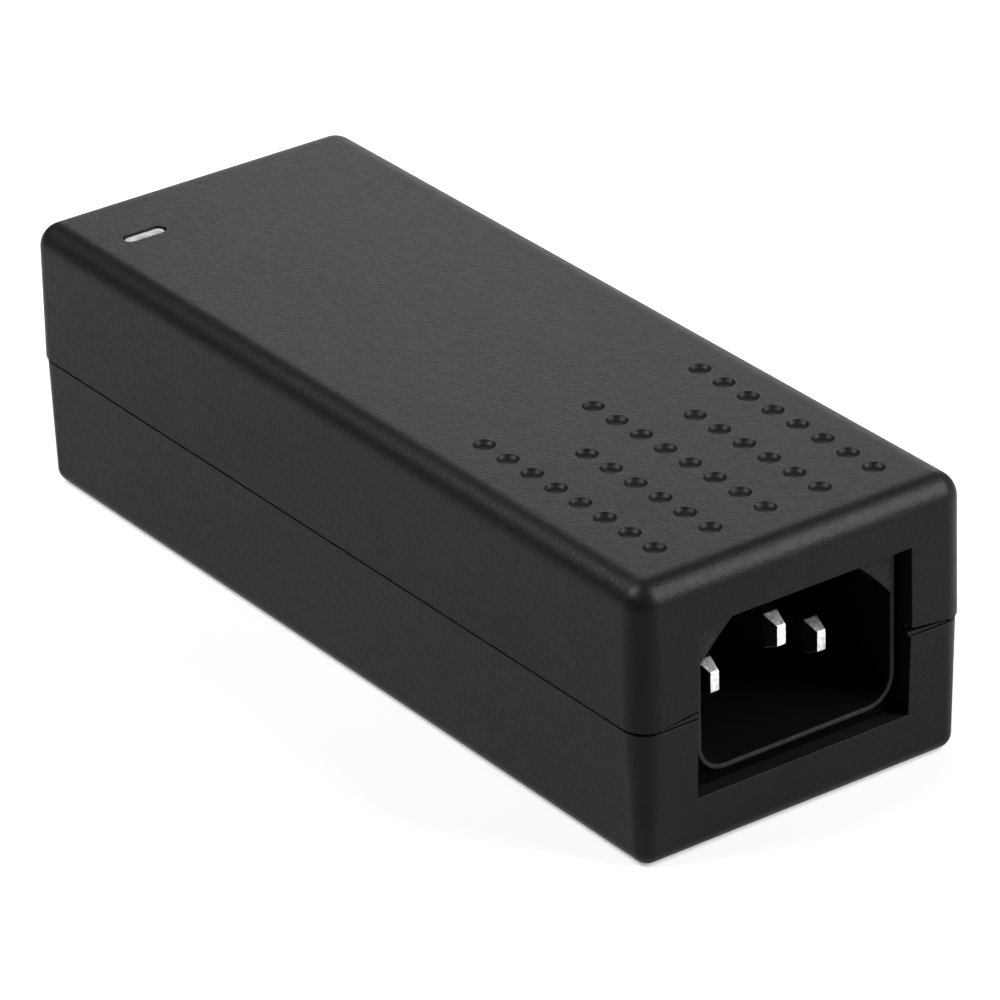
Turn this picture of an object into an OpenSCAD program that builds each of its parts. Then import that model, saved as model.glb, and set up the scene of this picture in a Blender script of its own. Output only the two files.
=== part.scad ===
// Power injector for a network cable: a mains power supply in a two-part case,
// with an appliance inlet at one end and two network jacks at the other.
// X runs along the case with the inlet at +X, Y across it, Z up from the base.

/* [Case] */
// Length of the case, from the jack end to the inlet end
case_l = 114; // [112:0.5:120]
// Width of the case
case_w = 43; // [43:0.5:48]
// Height of the case
case_h = 32.6; // [32:0.2:36]
// Wall thickness of both shells
wall = 2.2; // [1.8:0.1:2.3]
// Height of the line where the two shells meet
split_z = 16; // [15.5:0.5:16.5]
// Radius of the upright corners
corner_r = 3; // [2.6:0.1:4]
// Radius of the top edges
top_edge_r = 2.8; // [2.4:0.1:3.2]
// Radius of the bottom edges
base_edge_r = 1.8; // [1:0.1:2.2]
// Draft angle of the top shell's sides
top_draft = 0.6; // [0:0.1:1.5]
// Draft angle of the bottom shell's sides
base_draft = 2.1; // [0:0.1:3]
// How far the bottom shell sits in from the top shell at the joint line
joint_step = 0.2; // [0.1:0.05:0.3]
// Height of the tongue on the bottom shell that centres the top shell
tongue_h = 1.4; // [1.2:0.1:1.8]

/* [Top vents] */
// Diameter of a vent dimple
dimple_d = 2.4; // [1.6:0.1:2.8]
// Depth of a vent dimple
dimple_deep = 0.45; // [0.4:0.05:0.8]
// Spacing of the dimples along the case
dimple_step = 4.2; // [3.8:0.1:4.4]
// Spacing of the rows across the case
row_step = 7.1; // [6:0.1:7.2]
// Distance of the middle row from the middle of the case
vents_y = 0.4; // [0:0.1:0.8]
// Dimples in a long row
long_row = 8; // [6:1:8]
// Distance from the inlet end to the first dimple
dimple_from_end = 7.3; // [6.5:0.1:9]

/* [Indicator] */
// Length of the indicator window, across the case
window_l = 5.4; // [4:0.1:6]
// Width of the indicator window, along the case
window_w = 1.8; // [1.5:0.1:2.4]
// Distance from the jack end to the window
window_from_end = 11.1; // [10.5:0.1:13]
// Distance of the window from the middle of the case
window_y = -13; // [-14:0.2:-12]

/* [Appliance inlet] */
// Width of the case opening round the inlet
opening_w = 27.7; // [27.4:0.1:28.5]
// Height of the lower edge of the opening
opening_z0 = 6.4; // [6:0.1:7]
// Height of the upper edge of the opening
opening_z1 = 26.35; // [26.3:0.05:27]
// Width of the inlet's cavity
cavity_w = 24.6; // [24.4:0.1:25]
// Height of the inlet's cavity
cavity_h = 17.1; // [16.8:0.1:17.2]
// How far the inlet's rim sits behind the end face
rim_back = 1.75; // [1.4:0.05:1.9]
// Depth of the cavity behind its rim
cavity_deep = 16; // [15:0.5:17]
// Centre distance of the line and neutral pins
pin_pitch = 14; // [14:0.5:14]

/* [Network jacks] */
// Width of a jack's housing
jack_w = 15.8; // [15.4:0.1:16]
// Height of a jack's housing
jack_h = 13.2; // [13:0.1:13.6]
// Length of a jack's housing
jack_l = 18; // [17:0.5:19]
// Distance of each jack from the middle of the case
jack_y = 9; // [8.9:0.1:9.2]
// Width of the plug opening
plug_w = 11.8; // [11.7:0.1:12.2]
// Height of the plug opening above its latch slots
plug_h = 6.8; // [6.6:0.1:7]

/* [Hidden] */
$fn = 48;

eps = 0.01;
end_x = case_l / 2;
side_y = case_w / 2;
window_x = -end_x + window_from_end;
first_dimple_x = end_x - dimple_from_end;

// circuit board and what stands on it
board_z0 = 5.4;
board_t = 1.6;
board_z = board_z0 + board_t;
board_x0 = -end_x + wall + 0.6;
board_x1 = 34.5;
board_w = 36.4;
jack_x0 = -end_x + 0.35;
shield_t = 0.25;

// screws: two beside the inlet, two behind the jacks
screw_places = [[50, 16.3], [50, -16.3], [-31.5, 15.9], [-31.5, -15.9]];
boss_d = 5.4;
screw_d = 2.5;
screw_head_d = 4.3;
screw_head_h = 1.7;
well_d = 4.6;
well_deep = 4;
post_top = 12;
screw_l = 16;
board_rests = [[31.5, 15.9], [31.5, -15.9], [-48, 0], [0, 0]];

// inlet
rim_x = end_x - rim_back;
inlet_wall = 0.6;
cavity_z0 = 8.5;
chamfer = 4.7;
inlet_back_x = rim_x - cavity_deep - 3.2;
pin_z = 15.1;
earth_z = pin_z + 4;
pin_h = 4;
pin_w = 2;
pin_tip_x = end_x - 6.4;
earth_tip_x = end_x - 4.2;
tail_x = 32;
flange_x1 = end_x - wall - 0.6;
flange_t = 1.6;
flange_w = 29.2;
flange_z0 = 5.6;
flange_h = 21.8;

// network jacks
plug_z1 = board_z + jack_h - 2.6;
plug_z0 = plug_z1 - plug_h;
contact_wire = 0.36;
contact_step = 1.02;
contact_slot_w = 8.8;

// places of the parts on the board, as [x, y]
fuse_at = [28, -11];
thermistor_at = [28.5, 10.5];
x_cap_at = [19.5, -9];
bridge_at = [19.5, 10];
choke_at = [8, -8.5];
bulk_cap_at = [7, 9.5];
transistor_at = [-4, -15.2];
controller_at = [-2.5, -8];
opto_at = [-6.5, 15.5];
transformer_at = [-13.5, 0];
y_cap_at = [-15, 15.5];
diode_at = [-22.5, -15.2];
output_caps_at = [[-26.8, -5.5], [-26.8, 5.5]];
output_inductor_at = [-23.5, 14.2];
data_transformer_at = [-35.2, 0];
led_leg_x = jack_x0 + jack_l + 1.4;

// where each part's legs stand, measured from the part's place
fuse_legs = [[0, -2.5], [0, 2.5]];
thermistor_legs = [[-0.8, -2.5], [0.8, 2.5]];
x_cap_legs = [[0, -6.5], [0, 6.5]];
choke_legs = [[-3, -5.5], [3, -5.5], [-3, 5.5], [3, 5.5]];
bridge_legs = [for (i = [-1.5:1.5]) [0, i * 4]];
bulk_cap_legs = [[0, -3.7], [0, 3.7]];
package_legs = [[-2.5, 0], [0, 0], [2.5, 0]];
opto_legs = [[-1.3, -1.8], [1.3, -1.8], [-1.3, 1.8], [1.3, 1.8]];
y_cap_legs = [[-3, 0], [3, 0]];
output_cap_legs = [[0, -2.5], [0, 2.5]];
led_legs = [[0, -1.1], [0, 1.1]];
leg_d = 0.7;
leg_hole_d = 0.9;
all_legs = [[fuse_at, fuse_legs], [thermistor_at, thermistor_legs], [x_cap_at, x_cap_legs],
    [choke_at, choke_legs], [bridge_at, bridge_legs], [bulk_cap_at, bulk_cap_legs],
    [transistor_at, package_legs], [opto_at, opto_legs], [y_cap_at, y_cap_legs],
    [diode_at, package_legs], [output_caps_at[0], output_cap_legs],
    [output_caps_at[1], output_cap_legs], [[led_leg_x, window_y], led_legs]];

// ---- helpers -----------------------------------------------------------

// Carries a flat outline, drawn as (y, z), from x0 to x1
module along_x(x0, x1)
    translate([x0, 0, 0]) rotate([90, 0, 90]) linear_extrude(x1 - x0) children();

// A ball whose poles lie exactly on its radius
module ball(r)
    rotate_extrude($fn = 32) intersection() {
        circle(r, $fn = 32);
        translate([0, -r]) square([r, 2 * r]);
    }

// A block standing on the board, centred on place
module board_block(place, size)
    translate([place[0] - size[0] / 2, place[1] - size[1] / 2, board_z]) cube(size);

// Round wire legs through the board under a part, one at each offset
module legs(place, offsets, top)
    for (o = offsets)
        translate([place[0] + o[0], place[1] + o[1], board_z0 - 1])
            cylinder(d = leg_d, h = top - board_z0 + 1, $fn = 16);

// Half of the case as a solid, standing on the joint line: straight drafted
// sides, upright rounded corners and a rounded outer edge
module half_form(inset, edge_r, draft, height) {
    r = max(edge_r - inset, 0.5);
    upright_r = max(corner_r - inset, 0.6);
    lean = tan(draft) * (height - inset - r);
    hull() {
        for (sx = [-1, 1], sy = [-1, 1]) {
            translate([sx * (end_x - inset - upright_r), sy * (side_y - inset - upright_r), 0])
                cylinder(r = upright_r, h = 2 * eps, $fn = 32);
            translate([sx * (end_x - inset - lean - r), sy * (side_y - inset - lean - r),
                height - inset - r]) ball(r);
        }
    }
}

// A plain band of the case outline, used for the tongue and its groove
module outline_band(inset, z0, z1) {
    r = max(corner_r - inset, 0.6);
    translate([0, 0, z0]) hull()
        for (sx = [-1, 1], sy = [-1, 1])
            translate([sx * (end_x - inset - r), sy * (side_y - inset - r), 0])
                cylinder(r = r, h = z1 - z0, $fn = 32);
}

// Opening in the end wall round the inlet
module inlet_opening()
    translate([end_x - 2 * wall, -opening_w / 2, opening_z0])
        cube([3 * wall, opening_w, opening_z1 - opening_z0]);

// Openings in the end wall round the two jacks
module jack_openings()
    for (s = [-1, 1])
        translate([-end_x - wall, s * jack_y - jack_w / 2 - 0.5, board_z - 0.3])
            cube([3 * wall, jack_w + 1, jack_h + 0.9]);

// ---- case --------------------------------------------------------------

// A blind bowl: the cap of a ball that is dimple_d wide and dimple_deep deep
module dimple() {
    bowl_r = (dimple_d * dimple_d / 4 + dimple_deep * dimple_deep) / (2 * dimple_deep);
    translate([0, 0, bowl_r - dimple_deep]) sphere(bowl_r);
}

// Long rows reach furthest from the inlet; the rows between are two shorter
module vent_field()
    for (row = [-2:2])
        for (i = [0:long_row - 1 - (abs(row) == 1 ? 2 : 0)])
            translate([first_dimple_x - i * dimple_step, row * row_step + vents_y, case_h]) dimple();

module window_outline(grow = 0) {
    r = window_w / 2 + grow;
    half = (window_l - window_w) / 2;
    square([2 * r, 2 * half], center = true);
    for (s = [-1, 1]) translate([0, s * half]) circle(r, $fn = 32);
}

module top_shell() color([0.09, 0.09, 0.095]) difference() {
    union() {
        difference() {
            translate([0, 0, split_z])
                half_form(0, top_edge_r, top_draft, case_h - split_z);
            translate([0, 0, split_z - eps])
                half_form(wall, top_edge_r, top_draft, case_h - split_z + eps);
            outline_band(wall / 2, split_z - 1, split_z + tongue_h + 0.1);
        }
        for (p = screw_places)
            translate([p[0], p[1], post_top + 0.2])
                cylinder(d = boss_d, h = case_h - wall - post_top + eps);
    }
    for (p = screw_places)
        translate([p[0], p[1], post_top]) cylinder(d = screw_d + 0.1, h = screw_l - 6);
    inlet_opening();
    jack_openings();
    // reliefs beside the inlet that show the tongue
    for (s = [0, 1]) mirror([0, s, 0])
        translate([end_x - wall / 2 - 0.1, opening_w / 2 - eps, split_z - eps])
            cube([wall, 5.2, 1.1]);
    vent_field();
    translate([window_x, window_y, case_h - 2 * wall])
        linear_extrude(3 * wall) window_outline();
}

module bottom_shell() color([0.08, 0.08, 0.085]) difference() {
    union() {
        difference() {
            union() {
                translate([0, 0, split_z]) mirror([0, 0, 1])
                    half_form(joint_step, base_edge_r + joint_step, base_draft,
                        split_z + joint_step);
                outline_band(wall / 2 + 0.1, split_z - 1, split_z + tongue_h);
            }
            translate([0, 0, split_z + eps]) mirror([0, 0, 1])
                half_form(wall, base_edge_r, base_draft, split_z + eps);
            outline_band(wall, split_z - 2 * eps, split_z + 3);
        }
        for (p = screw_places)
            translate([p[0], p[1], wall - eps]) cylinder(d = boss_d, h = post_top - wall);
        for (p = board_rests)
            translate([p[0], p[1], wall - eps]) cylinder(d = 4, h = board_z0 - wall);
    }
    for (p = screw_places) translate([p[0], p[1], -eps]) {
        cylinder(d = well_d, h = well_deep + eps);
        cylinder(d = screw_d + 0.3, h = post_top + 1);
    }
    inlet_opening();
    jack_openings();
    // shallow bed for the label
    translate([-22, -side_y + 5.5, -eps]) cube([64, case_w - 11, 0.3]);
}

module indicator_lens() color([0.85, 0.86, 0.85]) translate([window_x, window_y, 0]) {
    translate([0, 0, case_h - wall - eps])
        linear_extrude(wall - 0.2) window_outline(-0.08);
    translate([0, 0, case_h - wall - 1.2]) linear_extrude(1.2) window_outline(0.8);
}

// Round-topped lamp over the jack, its two legs bent back and down to the board
module power_led() {
    led_z = board_z + jack_h + 1.9;
    run_z = board_z + jack_h + 1.1;
    color([0.5, 0.75, 0.45]) translate([window_x, window_y, led_z]) {
        cylinder(d = 3, h = 3.6, $fn = 32);
        translate([0, 0, 3.6]) ball(1.5);
        cylinder(d = 3.8, h = 0.9, $fn = 32);
    }
    color("silver") for (o = led_legs) translate([0, window_y + o[1] - 0.25, 0]) {
        translate([window_x - 0.25, 0, run_z]) cube([0.5, 0.5, led_z - run_z + eps]);
        translate([window_x - 0.25, 0, run_z]) cube([led_leg_x - window_x + 0.5, 0.5, 0.5]);
        translate([led_leg_x - 0.25, 0, board_z0 - 1]) cube([0.5, 0.5, run_z - board_z0 + 1.5]);
    }
}

module housing_screws() color([0.55, 0.55, 0.57])
    for (p = screw_places)
        translate([p[0], p[1], well_deep - screw_head_h]) difference() {
            union() {
                cylinder(d = screw_head_d, h = screw_head_h);
                cylinder(d = screw_d, h = screw_head_h + screw_l - 1);
            }
            for (a = [0, 90]) rotate([0, 0, a])
                translate([-1.2, -0.25, -eps]) cube([2.4, 0.5, 0.9]);
        }

module rating_label() color([0.75, 0.76, 0.77])
    translate([-21.5, -side_y + 6, 0.14]) cube([63, case_w - 12, 0.15]);

// ---- appliance inlet ---------------------------------------------------

// Six-sided mouth: rounded lower corners, chamfered upper corners
module mouth_outline(grow = 0) {
    w = cavity_w / 2 + grow;
    z0 = cavity_z0 - grow;
    z1 = cavity_z0 + cavity_h + grow;
    r = 3 + grow;
    c = chamfer + grow * 0.6;
    hull() {
        for (s = [-1, 1]) translate([s * (w - r), z0 + r]) circle(r, $fn = 32);
        polygon([[-w, z0 + r], [w, z0 + r], [w, z1 - c], [w - c, z1], [c - w, z1],
            [-w, z1 - c]]);
    }
}

// Outside of the mouth: rounded below, square above
module shroud_outline() {
    w = cavity_w / 2 + inlet_wall;
    z0 = cavity_z0 - inlet_wall;
    z1 = cavity_z0 + cavity_h + inlet_wall;
    r = 3 + inlet_wall;
    hull() {
        for (s = [-1, 1]) translate([s * (w - r), z0 + r]) circle(r, $fn = 32);
        translate([-w, z1 - 5]) square([2 * w, 5]);
    }
}

module pin_outline(w = pin_w, h = pin_h) square([w, h], center = true);

module inlet_body() color([0.05, 0.05, 0.055]) difference() {
    union() {
        along_x(inlet_back_x, rim_x) shroud_outline();
        // flange trapped behind the end wall
        along_x(flange_x1 - flange_t, flange_x1)
            translate([-flange_w / 2, flange_z0]) square([flange_w, flange_h]);
    }
    along_x(rim_x - cavity_deep, rim_x + 1) mouth_outline();
    along_x(inlet_back_x - 1, rim_x) {
        for (s = [-1, 1]) translate([s * pin_pitch / 2, pin_z]) pin_outline();
        translate([0, earth_z]) pin_outline();
    }
}

// A blade with a tapered tip, its tail bent down to the board
module blade(y, z, tip_x) {
    taper = 1.6;
    w = pin_w / 2;
    h = pin_h / 2;
    translate([0, y, z]) intersection() {
        // taper seen from above
        translate([0, 0, -h]) linear_extrude(pin_h)
            polygon([[tail_x, -w], [tip_x - taper, -w], [tip_x, -w + 0.5], [tip_x, w - 0.5],
                [tip_x - taper, w], [tail_x, w]]);
        // taper seen from the side
        rotate([90, 0, 0]) translate([0, 0, -w]) linear_extrude(pin_w)
            polygon([[tail_x, -h], [tip_x - taper, -h], [tip_x, -h + 0.9], [tip_x, h - 0.9],
                [tip_x - taper, h], [tail_x, h]]);
    }
    translate([tail_x - 1, y - w, board_z0 - 1.2])
        cube([1 + eps, pin_w, z + h - board_z0 + 1.2]);
}

module line_pin() color("silver") blade(pin_pitch / 2, pin_z, pin_tip_x);
module neutral_pin() color("silver") blade(-pin_pitch / 2, pin_z, pin_tip_x);
module earth_pin() color("silver") blade(0, earth_z, earth_tip_x);

// ---- network jacks -----------------------------------------------------

// Plug opening: the main window with two latch steps below it
module plug_outline(grow = 0) {
    translate([-plug_w / 2 - grow, plug_z0 - grow]) square([plug_w + 2 * grow, plug_h + 2 * grow]);
    translate([-3.1, plug_z0 - 1.3]) square([6.2, 1.4]);
    translate([-1.7, plug_z0 - 2.6]) square([3.4, 1.4]);
}

module jack_housing(y) translate([0, y, 0]) difference() {
    along_x(jack_x0 + shield_t, jack_x0 + jack_l)
        translate([-jack_w / 2, board_z]) square([jack_w, jack_h]);
    along_x(jack_x0 - 1, jack_x0 + jack_l - 3.5) plug_outline();
    // slots for the contacts: one in the roof, one down the back
    along_x(jack_x0 + 3, jack_x0 + jack_l + 1)
        translate([-contact_slot_w / 2, plug_z1 - eps]) square([contact_slot_w, 1.4]);
    along_x(jack_x0 + jack_l - 1.2, jack_x0 + jack_l + 1)
        translate([-contact_slot_w / 2, board_z - 1]) square([contact_slot_w, plug_z1 - board_z + 2]);
}

// Folded sheet over the top, sides and back, with a front face round the plug opening
module jack_shield(y) translate([0, y, 0]) difference() {
    along_x(jack_x0, jack_x0 + jack_l + shield_t)
        translate([-jack_w / 2 - shield_t, board_z]) square([jack_w + 2 * shield_t,
            jack_h + shield_t]);
    along_x(jack_x0 + shield_t, jack_x0 + jack_l)
        translate([-jack_w / 2, board_z - 1]) square([jack_w, jack_h + 1]);
    along_x(jack_x0 - 1, jack_x0 + 1) plug_outline(0.15);
}

// Eight spring wires: along the roof slot, sloping down into the opening, and
// down the back to the board
module jack_contacts(y) translate([0, y, 0])
    for (i = [-3.5:3.5]) translate([0, i * contact_step - contact_wire / 2, 0]) {
        run_z = plug_z1 + 0.5;
        translate([jack_x0 + 3.4, 0, run_z]) cube([jack_l - 4, contact_wire, contact_wire]);
        translate([jack_x0 + 3.4, contact_wire, run_z]) rotate([90, 0, 0])
            linear_extrude(contact_wire)
                polygon([[0, 0], [0, contact_wire], [0.6, contact_wire], [9.5, -2],
                    [9.5, -2.4], [0.3, -0.3]]);
        translate([jack_x0 + jack_l - 0.96, 0, board_z + 0.2])
            cube([contact_wire, contact_wire, run_z + 0.1 - board_z]);
    }

module lan_jack_housing() color([0.06, 0.06, 0.065]) jack_housing(-jack_y);
module lan_jack_shield() color([0.78, 0.79, 0.8]) jack_shield(-jack_y);
module lan_jack_contacts() color("gold") jack_contacts(-jack_y);
module poe_jack_housing() color([0.06, 0.06, 0.065]) jack_housing(jack_y);
module poe_jack_shield() color([0.78, 0.79, 0.8]) jack_shield(jack_y);
module poe_jack_contacts() color("gold") jack_contacts(jack_y);

// ---- board and what it carries -----------------------------------------

module circuit_board() color([0.1, 0.35, 0.2]) difference() {
    translate([board_x0, -board_w / 2, board_z0]) cube([board_x1 - board_x0, board_w, board_t]);
    for (p = screw_places)
        translate([p[0], p[1], 0]) cylinder(d = boss_d + 0.8, h = 20);
    // clearance at the board's edge beside each boss
    for (p = screw_places)
        translate([p[0] - boss_d / 2 - 0.4, p[1] > 0 ? p[1] : -side_y, 0])
            cube([boss_d + 0.8, side_y - abs(p[1]), 20]);
    for (set = all_legs, o = set[1])
        translate([set[0][0] + o[0], set[0][1] + o[1], 0]) cylinder(d = leg_hole_d, h = 20);
    // slots for the inlet's tails
    for (y = [-pin_pitch / 2, 0, pin_pitch / 2])
        translate([tail_x - 1.1, y - pin_w / 2 - 0.1, 0]) cube([1.2, pin_w + 0.2, 20]);
}

module insulation_sheet() color([0.85, 0.84, 0.78]) difference() {
    translate([-27, -16.5, wall + 0.2]) cube([66, 33, 0.3]);
    for (p = board_rests)
        translate([p[0], p[1], 0]) cylinder(d = 5, h = 20);
}

module fuse() color([0.2, 0.2, 0.22]) {
    translate([fuse_at[0], fuse_at[1], board_z + 0.4]) cylinder(d = 8.4, h = 7.6);
    legs(fuse_at, fuse_legs, board_z + 1);
}

module inrush_thermistor() color([0.15, 0.35, 0.25]) {
    translate([thermistor_at[0] - 2, thermistor_at[1], board_z + 6])
        rotate([0, 90, 0]) cylinder(d = 9, h = 4);
    legs(thermistor_at, thermistor_legs, board_z + 4);
}

module x_capacitor() color([0.85, 0.75, 0.25]) {
    board_block(x_cap_at, [7, 16, 13]);
    legs(x_cap_at, x_cap_legs, board_z + 1);
}

module choke_core() color([0.25, 0.28, 0.26])
    translate([choke_at[0], choke_at[1], board_z + 1.6]) difference() {
        cylinder(d = 13, h = 6.4);
        translate([0, 0, -1]) cylinder(d = 7, h = 10);
    }

// Two coils wound round opposite sides of the ring
module choke_windings() color([0.72, 0.42, 0.2]) {
    translate([choke_at[0], choke_at[1], board_z + 4.8])
        for (a = [20, 200]) rotate([0, 0, a]) difference() {
            rotate_extrude(angle = 140) translate([2.2, -4]) square([5.4, 8]);
            rotate_extrude() translate([3.5 - eps, -3.2]) square([3 + 2 * eps, 6.4]);
        }
    legs(choke_at, choke_legs, board_z + 0.9);
}

module bridge_rectifier() color([0.12, 0.12, 0.13]) {
    translate([0, 0, 3]) board_block(bridge_at, [4, 15, 11]);
    legs(bridge_at, bridge_legs, board_z + 3.2);
}

module bulk_capacitor() color([0.15, 0.16, 0.25]) {
    translate([bulk_cap_at[0], bulk_cap_at[1], board_z + 0.3]) cylinder(d = 16, h = 21.5);
    legs(bulk_cap_at, bulk_cap_legs, board_z + 1);
}

// Package on legs, standing against its heatsink plate
module power_package(place) {
    translate([0, 0, 5]) board_block(place, [10, 4.4, 9]);
    legs(place, package_legs, board_z + 5.2);
}

// Upright plate with a short foot, on the wall side of its package
module heatsink(place, length) {
    back_y = place[1] < 0 ? place[1] - 2.2 - 1 : place[1] + 2.2;
    translate([place[0] - length / 2, back_y, board_z]) cube([length, 1, 20]);
}

module switching_transistor() color([0.12, 0.12, 0.13]) power_package(transistor_at);
module primary_heatsink() color([0.7, 0.71, 0.73]) heatsink(transistor_at, 18);
module output_diode() color([0.12, 0.12, 0.13]) power_package(diode_at);
module secondary_heatsink() color([0.7, 0.71, 0.73])
    heatsink([diode_at[0] + 1.5, diode_at[1]], 14);

module controller_chip() color([0.1, 0.1, 0.11]) {
    board_block(controller_at, [5, 4, 1.6]);
    for (i = [-1.5:1.5], s = [-1, 1])
        translate([controller_at[0] + i * 1.2 - 0.2, controller_at[1] + s * 2.4 - 0.5, board_z])
            cube([0.4, 1, 0.3]);
}

module optocoupler() color([0.1, 0.1, 0.11]) {
    translate([0, 0, 0.5]) board_block(opto_at, [4.6, 4.2, 3.2]);
    legs(opto_at, opto_legs, board_z + 0.7);
}

// Two E-shaped halves closed round the bobbin: outer frame and middle limb
module transformer_core() color([0.2, 0.2, 0.21])
    translate([transformer_at[0], transformer_at[1], board_z + 11]) {
        difference() {
            cube([12, 25, 20], center = true);
            cube([14, 18, 13.4], center = true);
        }
        cube([6, 6, 13.4 + 2 * eps], center = true);
    }

module transformer_bobbin() color([0.15, 0.14, 0.14])
    translate([transformer_at[0], transformer_at[1], board_z + 11]) difference() {
        union() {
            for (z = [-6.6, 5.6]) translate([-7, -8.8, z]) cube([14, 17.6, 1]);
            cube([7.6, 7.6, 12.4], center = true);
        }
        cube([6.1, 6.1, 20], center = true);
    }

module transformer_winding() color([0.85, 0.7, 0.2])
    translate([transformer_at[0], transformer_at[1], board_z + 11]) difference() {
        cube([13.6, 16.8, 11], center = true);
        cube([7.7, 7.7, 20], center = true);
    }

module y_capacitor() color([0.15, 0.35, 0.65]) {
    translate([y_cap_at[0], y_cap_at[1] - 1.5, board_z + 5.5])
        rotate([-90, 0, 0]) cylinder(d = 8, h = 3);
    legs(y_cap_at, y_cap_legs, board_z + 4);
}

module output_capacitors() color([0.15, 0.16, 0.25])
    for (p = output_caps_at) {
        translate([p[0], p[1], board_z + 0.3]) cylinder(d = 10, h = 18);
        legs(p, output_cap_legs, board_z + 1);
    }

module output_inductor() color([0.2, 0.22, 0.21]) {
    translate([output_inductor_at[0], output_inductor_at[1], board_z]) {
        cylinder(d = 7.4, h = 1.2);
        cylinder(d = 6.4, h = 9);
        translate([0, 0, 8.8]) cylinder(d = 7.4, h = 1.2);
    }
}

module data_transformer() color([0.1, 0.1, 0.11]) {
    translate([0, 0, 0.3]) board_block(data_transformer_at, [4.6, 14, 4.5]);
    for (i = [-3.5:3.5], s = [-1, 1])
        translate([data_transformer_at[0] + s * 2.4 - 0.5,
            data_transformer_at[1] + i * 1.6 - 0.2, board_z]) cube([1, 0.4, 0.4]);
}

top_shell();
bottom_shell();
indicator_lens();
power_led();
housing_screws();
rating_label();
inlet_body();
line_pin();
neutral_pin();
earth_pin();
lan_jack_housing();
lan_jack_shield();
lan_jack_contacts();
poe_jack_housing();
poe_jack_shield();
poe_jack_contacts();
circuit_board();
insulation_sheet();
fuse();
inrush_thermistor();
x_capacitor();
choke_core();
choke_windings();
bridge_rectifier();
bulk_capacitor();
switching_transistor();
primary_heatsink();
controller_chip();
optocoupler();
transformer_core();
transformer_bobbin();
transformer_winding();
y_capacitor();
output_diode();
secondary_heatsink();
output_capacitors();
output_inductor();
data_transformer();
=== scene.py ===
import math

import bmesh
import bpy
import numpy as np
from mathutils import Matrix, Vector


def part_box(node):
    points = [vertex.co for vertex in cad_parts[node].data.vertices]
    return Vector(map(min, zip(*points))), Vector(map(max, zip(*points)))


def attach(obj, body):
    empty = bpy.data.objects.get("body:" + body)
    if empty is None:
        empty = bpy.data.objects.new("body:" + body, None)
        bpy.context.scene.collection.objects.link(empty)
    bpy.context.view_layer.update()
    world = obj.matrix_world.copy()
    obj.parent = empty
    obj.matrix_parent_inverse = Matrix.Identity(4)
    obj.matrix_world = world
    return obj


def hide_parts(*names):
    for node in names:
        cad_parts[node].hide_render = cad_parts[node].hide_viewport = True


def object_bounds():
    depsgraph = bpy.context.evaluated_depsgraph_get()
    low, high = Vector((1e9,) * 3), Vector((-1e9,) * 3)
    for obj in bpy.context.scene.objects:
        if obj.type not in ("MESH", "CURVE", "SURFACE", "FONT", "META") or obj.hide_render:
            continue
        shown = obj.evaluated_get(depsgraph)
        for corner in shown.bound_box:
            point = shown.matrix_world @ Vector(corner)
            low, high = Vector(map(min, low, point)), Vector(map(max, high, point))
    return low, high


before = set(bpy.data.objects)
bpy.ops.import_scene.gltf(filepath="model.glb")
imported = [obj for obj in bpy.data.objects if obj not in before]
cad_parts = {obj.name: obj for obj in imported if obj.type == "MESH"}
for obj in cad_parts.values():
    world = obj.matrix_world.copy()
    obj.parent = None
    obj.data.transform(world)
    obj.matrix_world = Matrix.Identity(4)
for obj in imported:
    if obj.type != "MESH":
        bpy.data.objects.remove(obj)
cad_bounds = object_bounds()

mm = 0.001

# ==== Camera =================================================================
# A long lens looks down on the corner between the vented top, one long side
# and the inlet end. The view is set as angles round the case and a distance.

case_low, case_high = (np.array(corner) / mm for corner in cad_bounds)
case_middle = (case_low + case_high) / 2
view_azimuth = math.radians(54.78)
view_elevation = math.radians(27.52)
view_roll = math.radians(-1.655)
view_distance = 681.8
aim_right, aim_up = 1.98, -2.64



def direction(azimuth, elevation):
    """The unit vector at an angle round from -Y and an angle up, in radians."""
    return Vector((math.sin(azimuth) * math.cos(elevation),
                   -math.cos(azimuth) * math.cos(elevation), math.sin(elevation)))


back = direction(view_azimuth, view_elevation)
level_right = direction(view_azimuth + math.pi / 2, 0)
level_up = back.cross(level_right)
right = level_right * math.cos(view_roll) + level_up * math.sin(view_roll)
up = back.cross(right)

camera_data = bpy.data.cameras.new("camera")
camera_data.sensor_width = 36
camera_data.lens = 225
camera_data.clip_start = 0.01
camera_data.clip_end = 10
camera = bpy.data.objects.new("camera", camera_data)
eye = Vector(case_middle) + right * aim_right + up * aim_up + back * view_distance
turn = Matrix((right, up, back)).transposed().to_4x4()
camera.matrix_world = Matrix.Translation(eye * mm) @ turn
bpy.context.scene.collection.objects.link(camera)
bpy.context.scene.camera = camera

# ==== Studio =================================================================
# A plain pale floor that glows a little, so shadows on it stay faint, and four
# soft boxes: one high on the near side, and three beyond the far side and the
# inlet end, whose light slides along the black faces.


def skin(rings, capped=True):
    """Carries quads between successive rings of points and closes both ends.

    rings has the shape (ring, point, xyz). Point p of ring r joins points p
    and p + 1 of rings r and r + 1, and the last point joins the first."""
    count, points = rings.shape[:2]
    ring, point = np.meshgrid(np.arange(count - 1), np.arange(points), indexing="ij")
    following = (point + 1) % points
    quads = np.stack([ring * points + point, ring * points + following,
                      (ring + 1) * points + following, (ring + 1) * points + point], -1)
    faces = quads.reshape(-1, 4).tolist()
    if capped:
        faces.append(list(range(points))[::-1])
        faces.append(list(range((count - 1) * points, count * points)))
    return rings.reshape(-1, 3), faces


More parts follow.
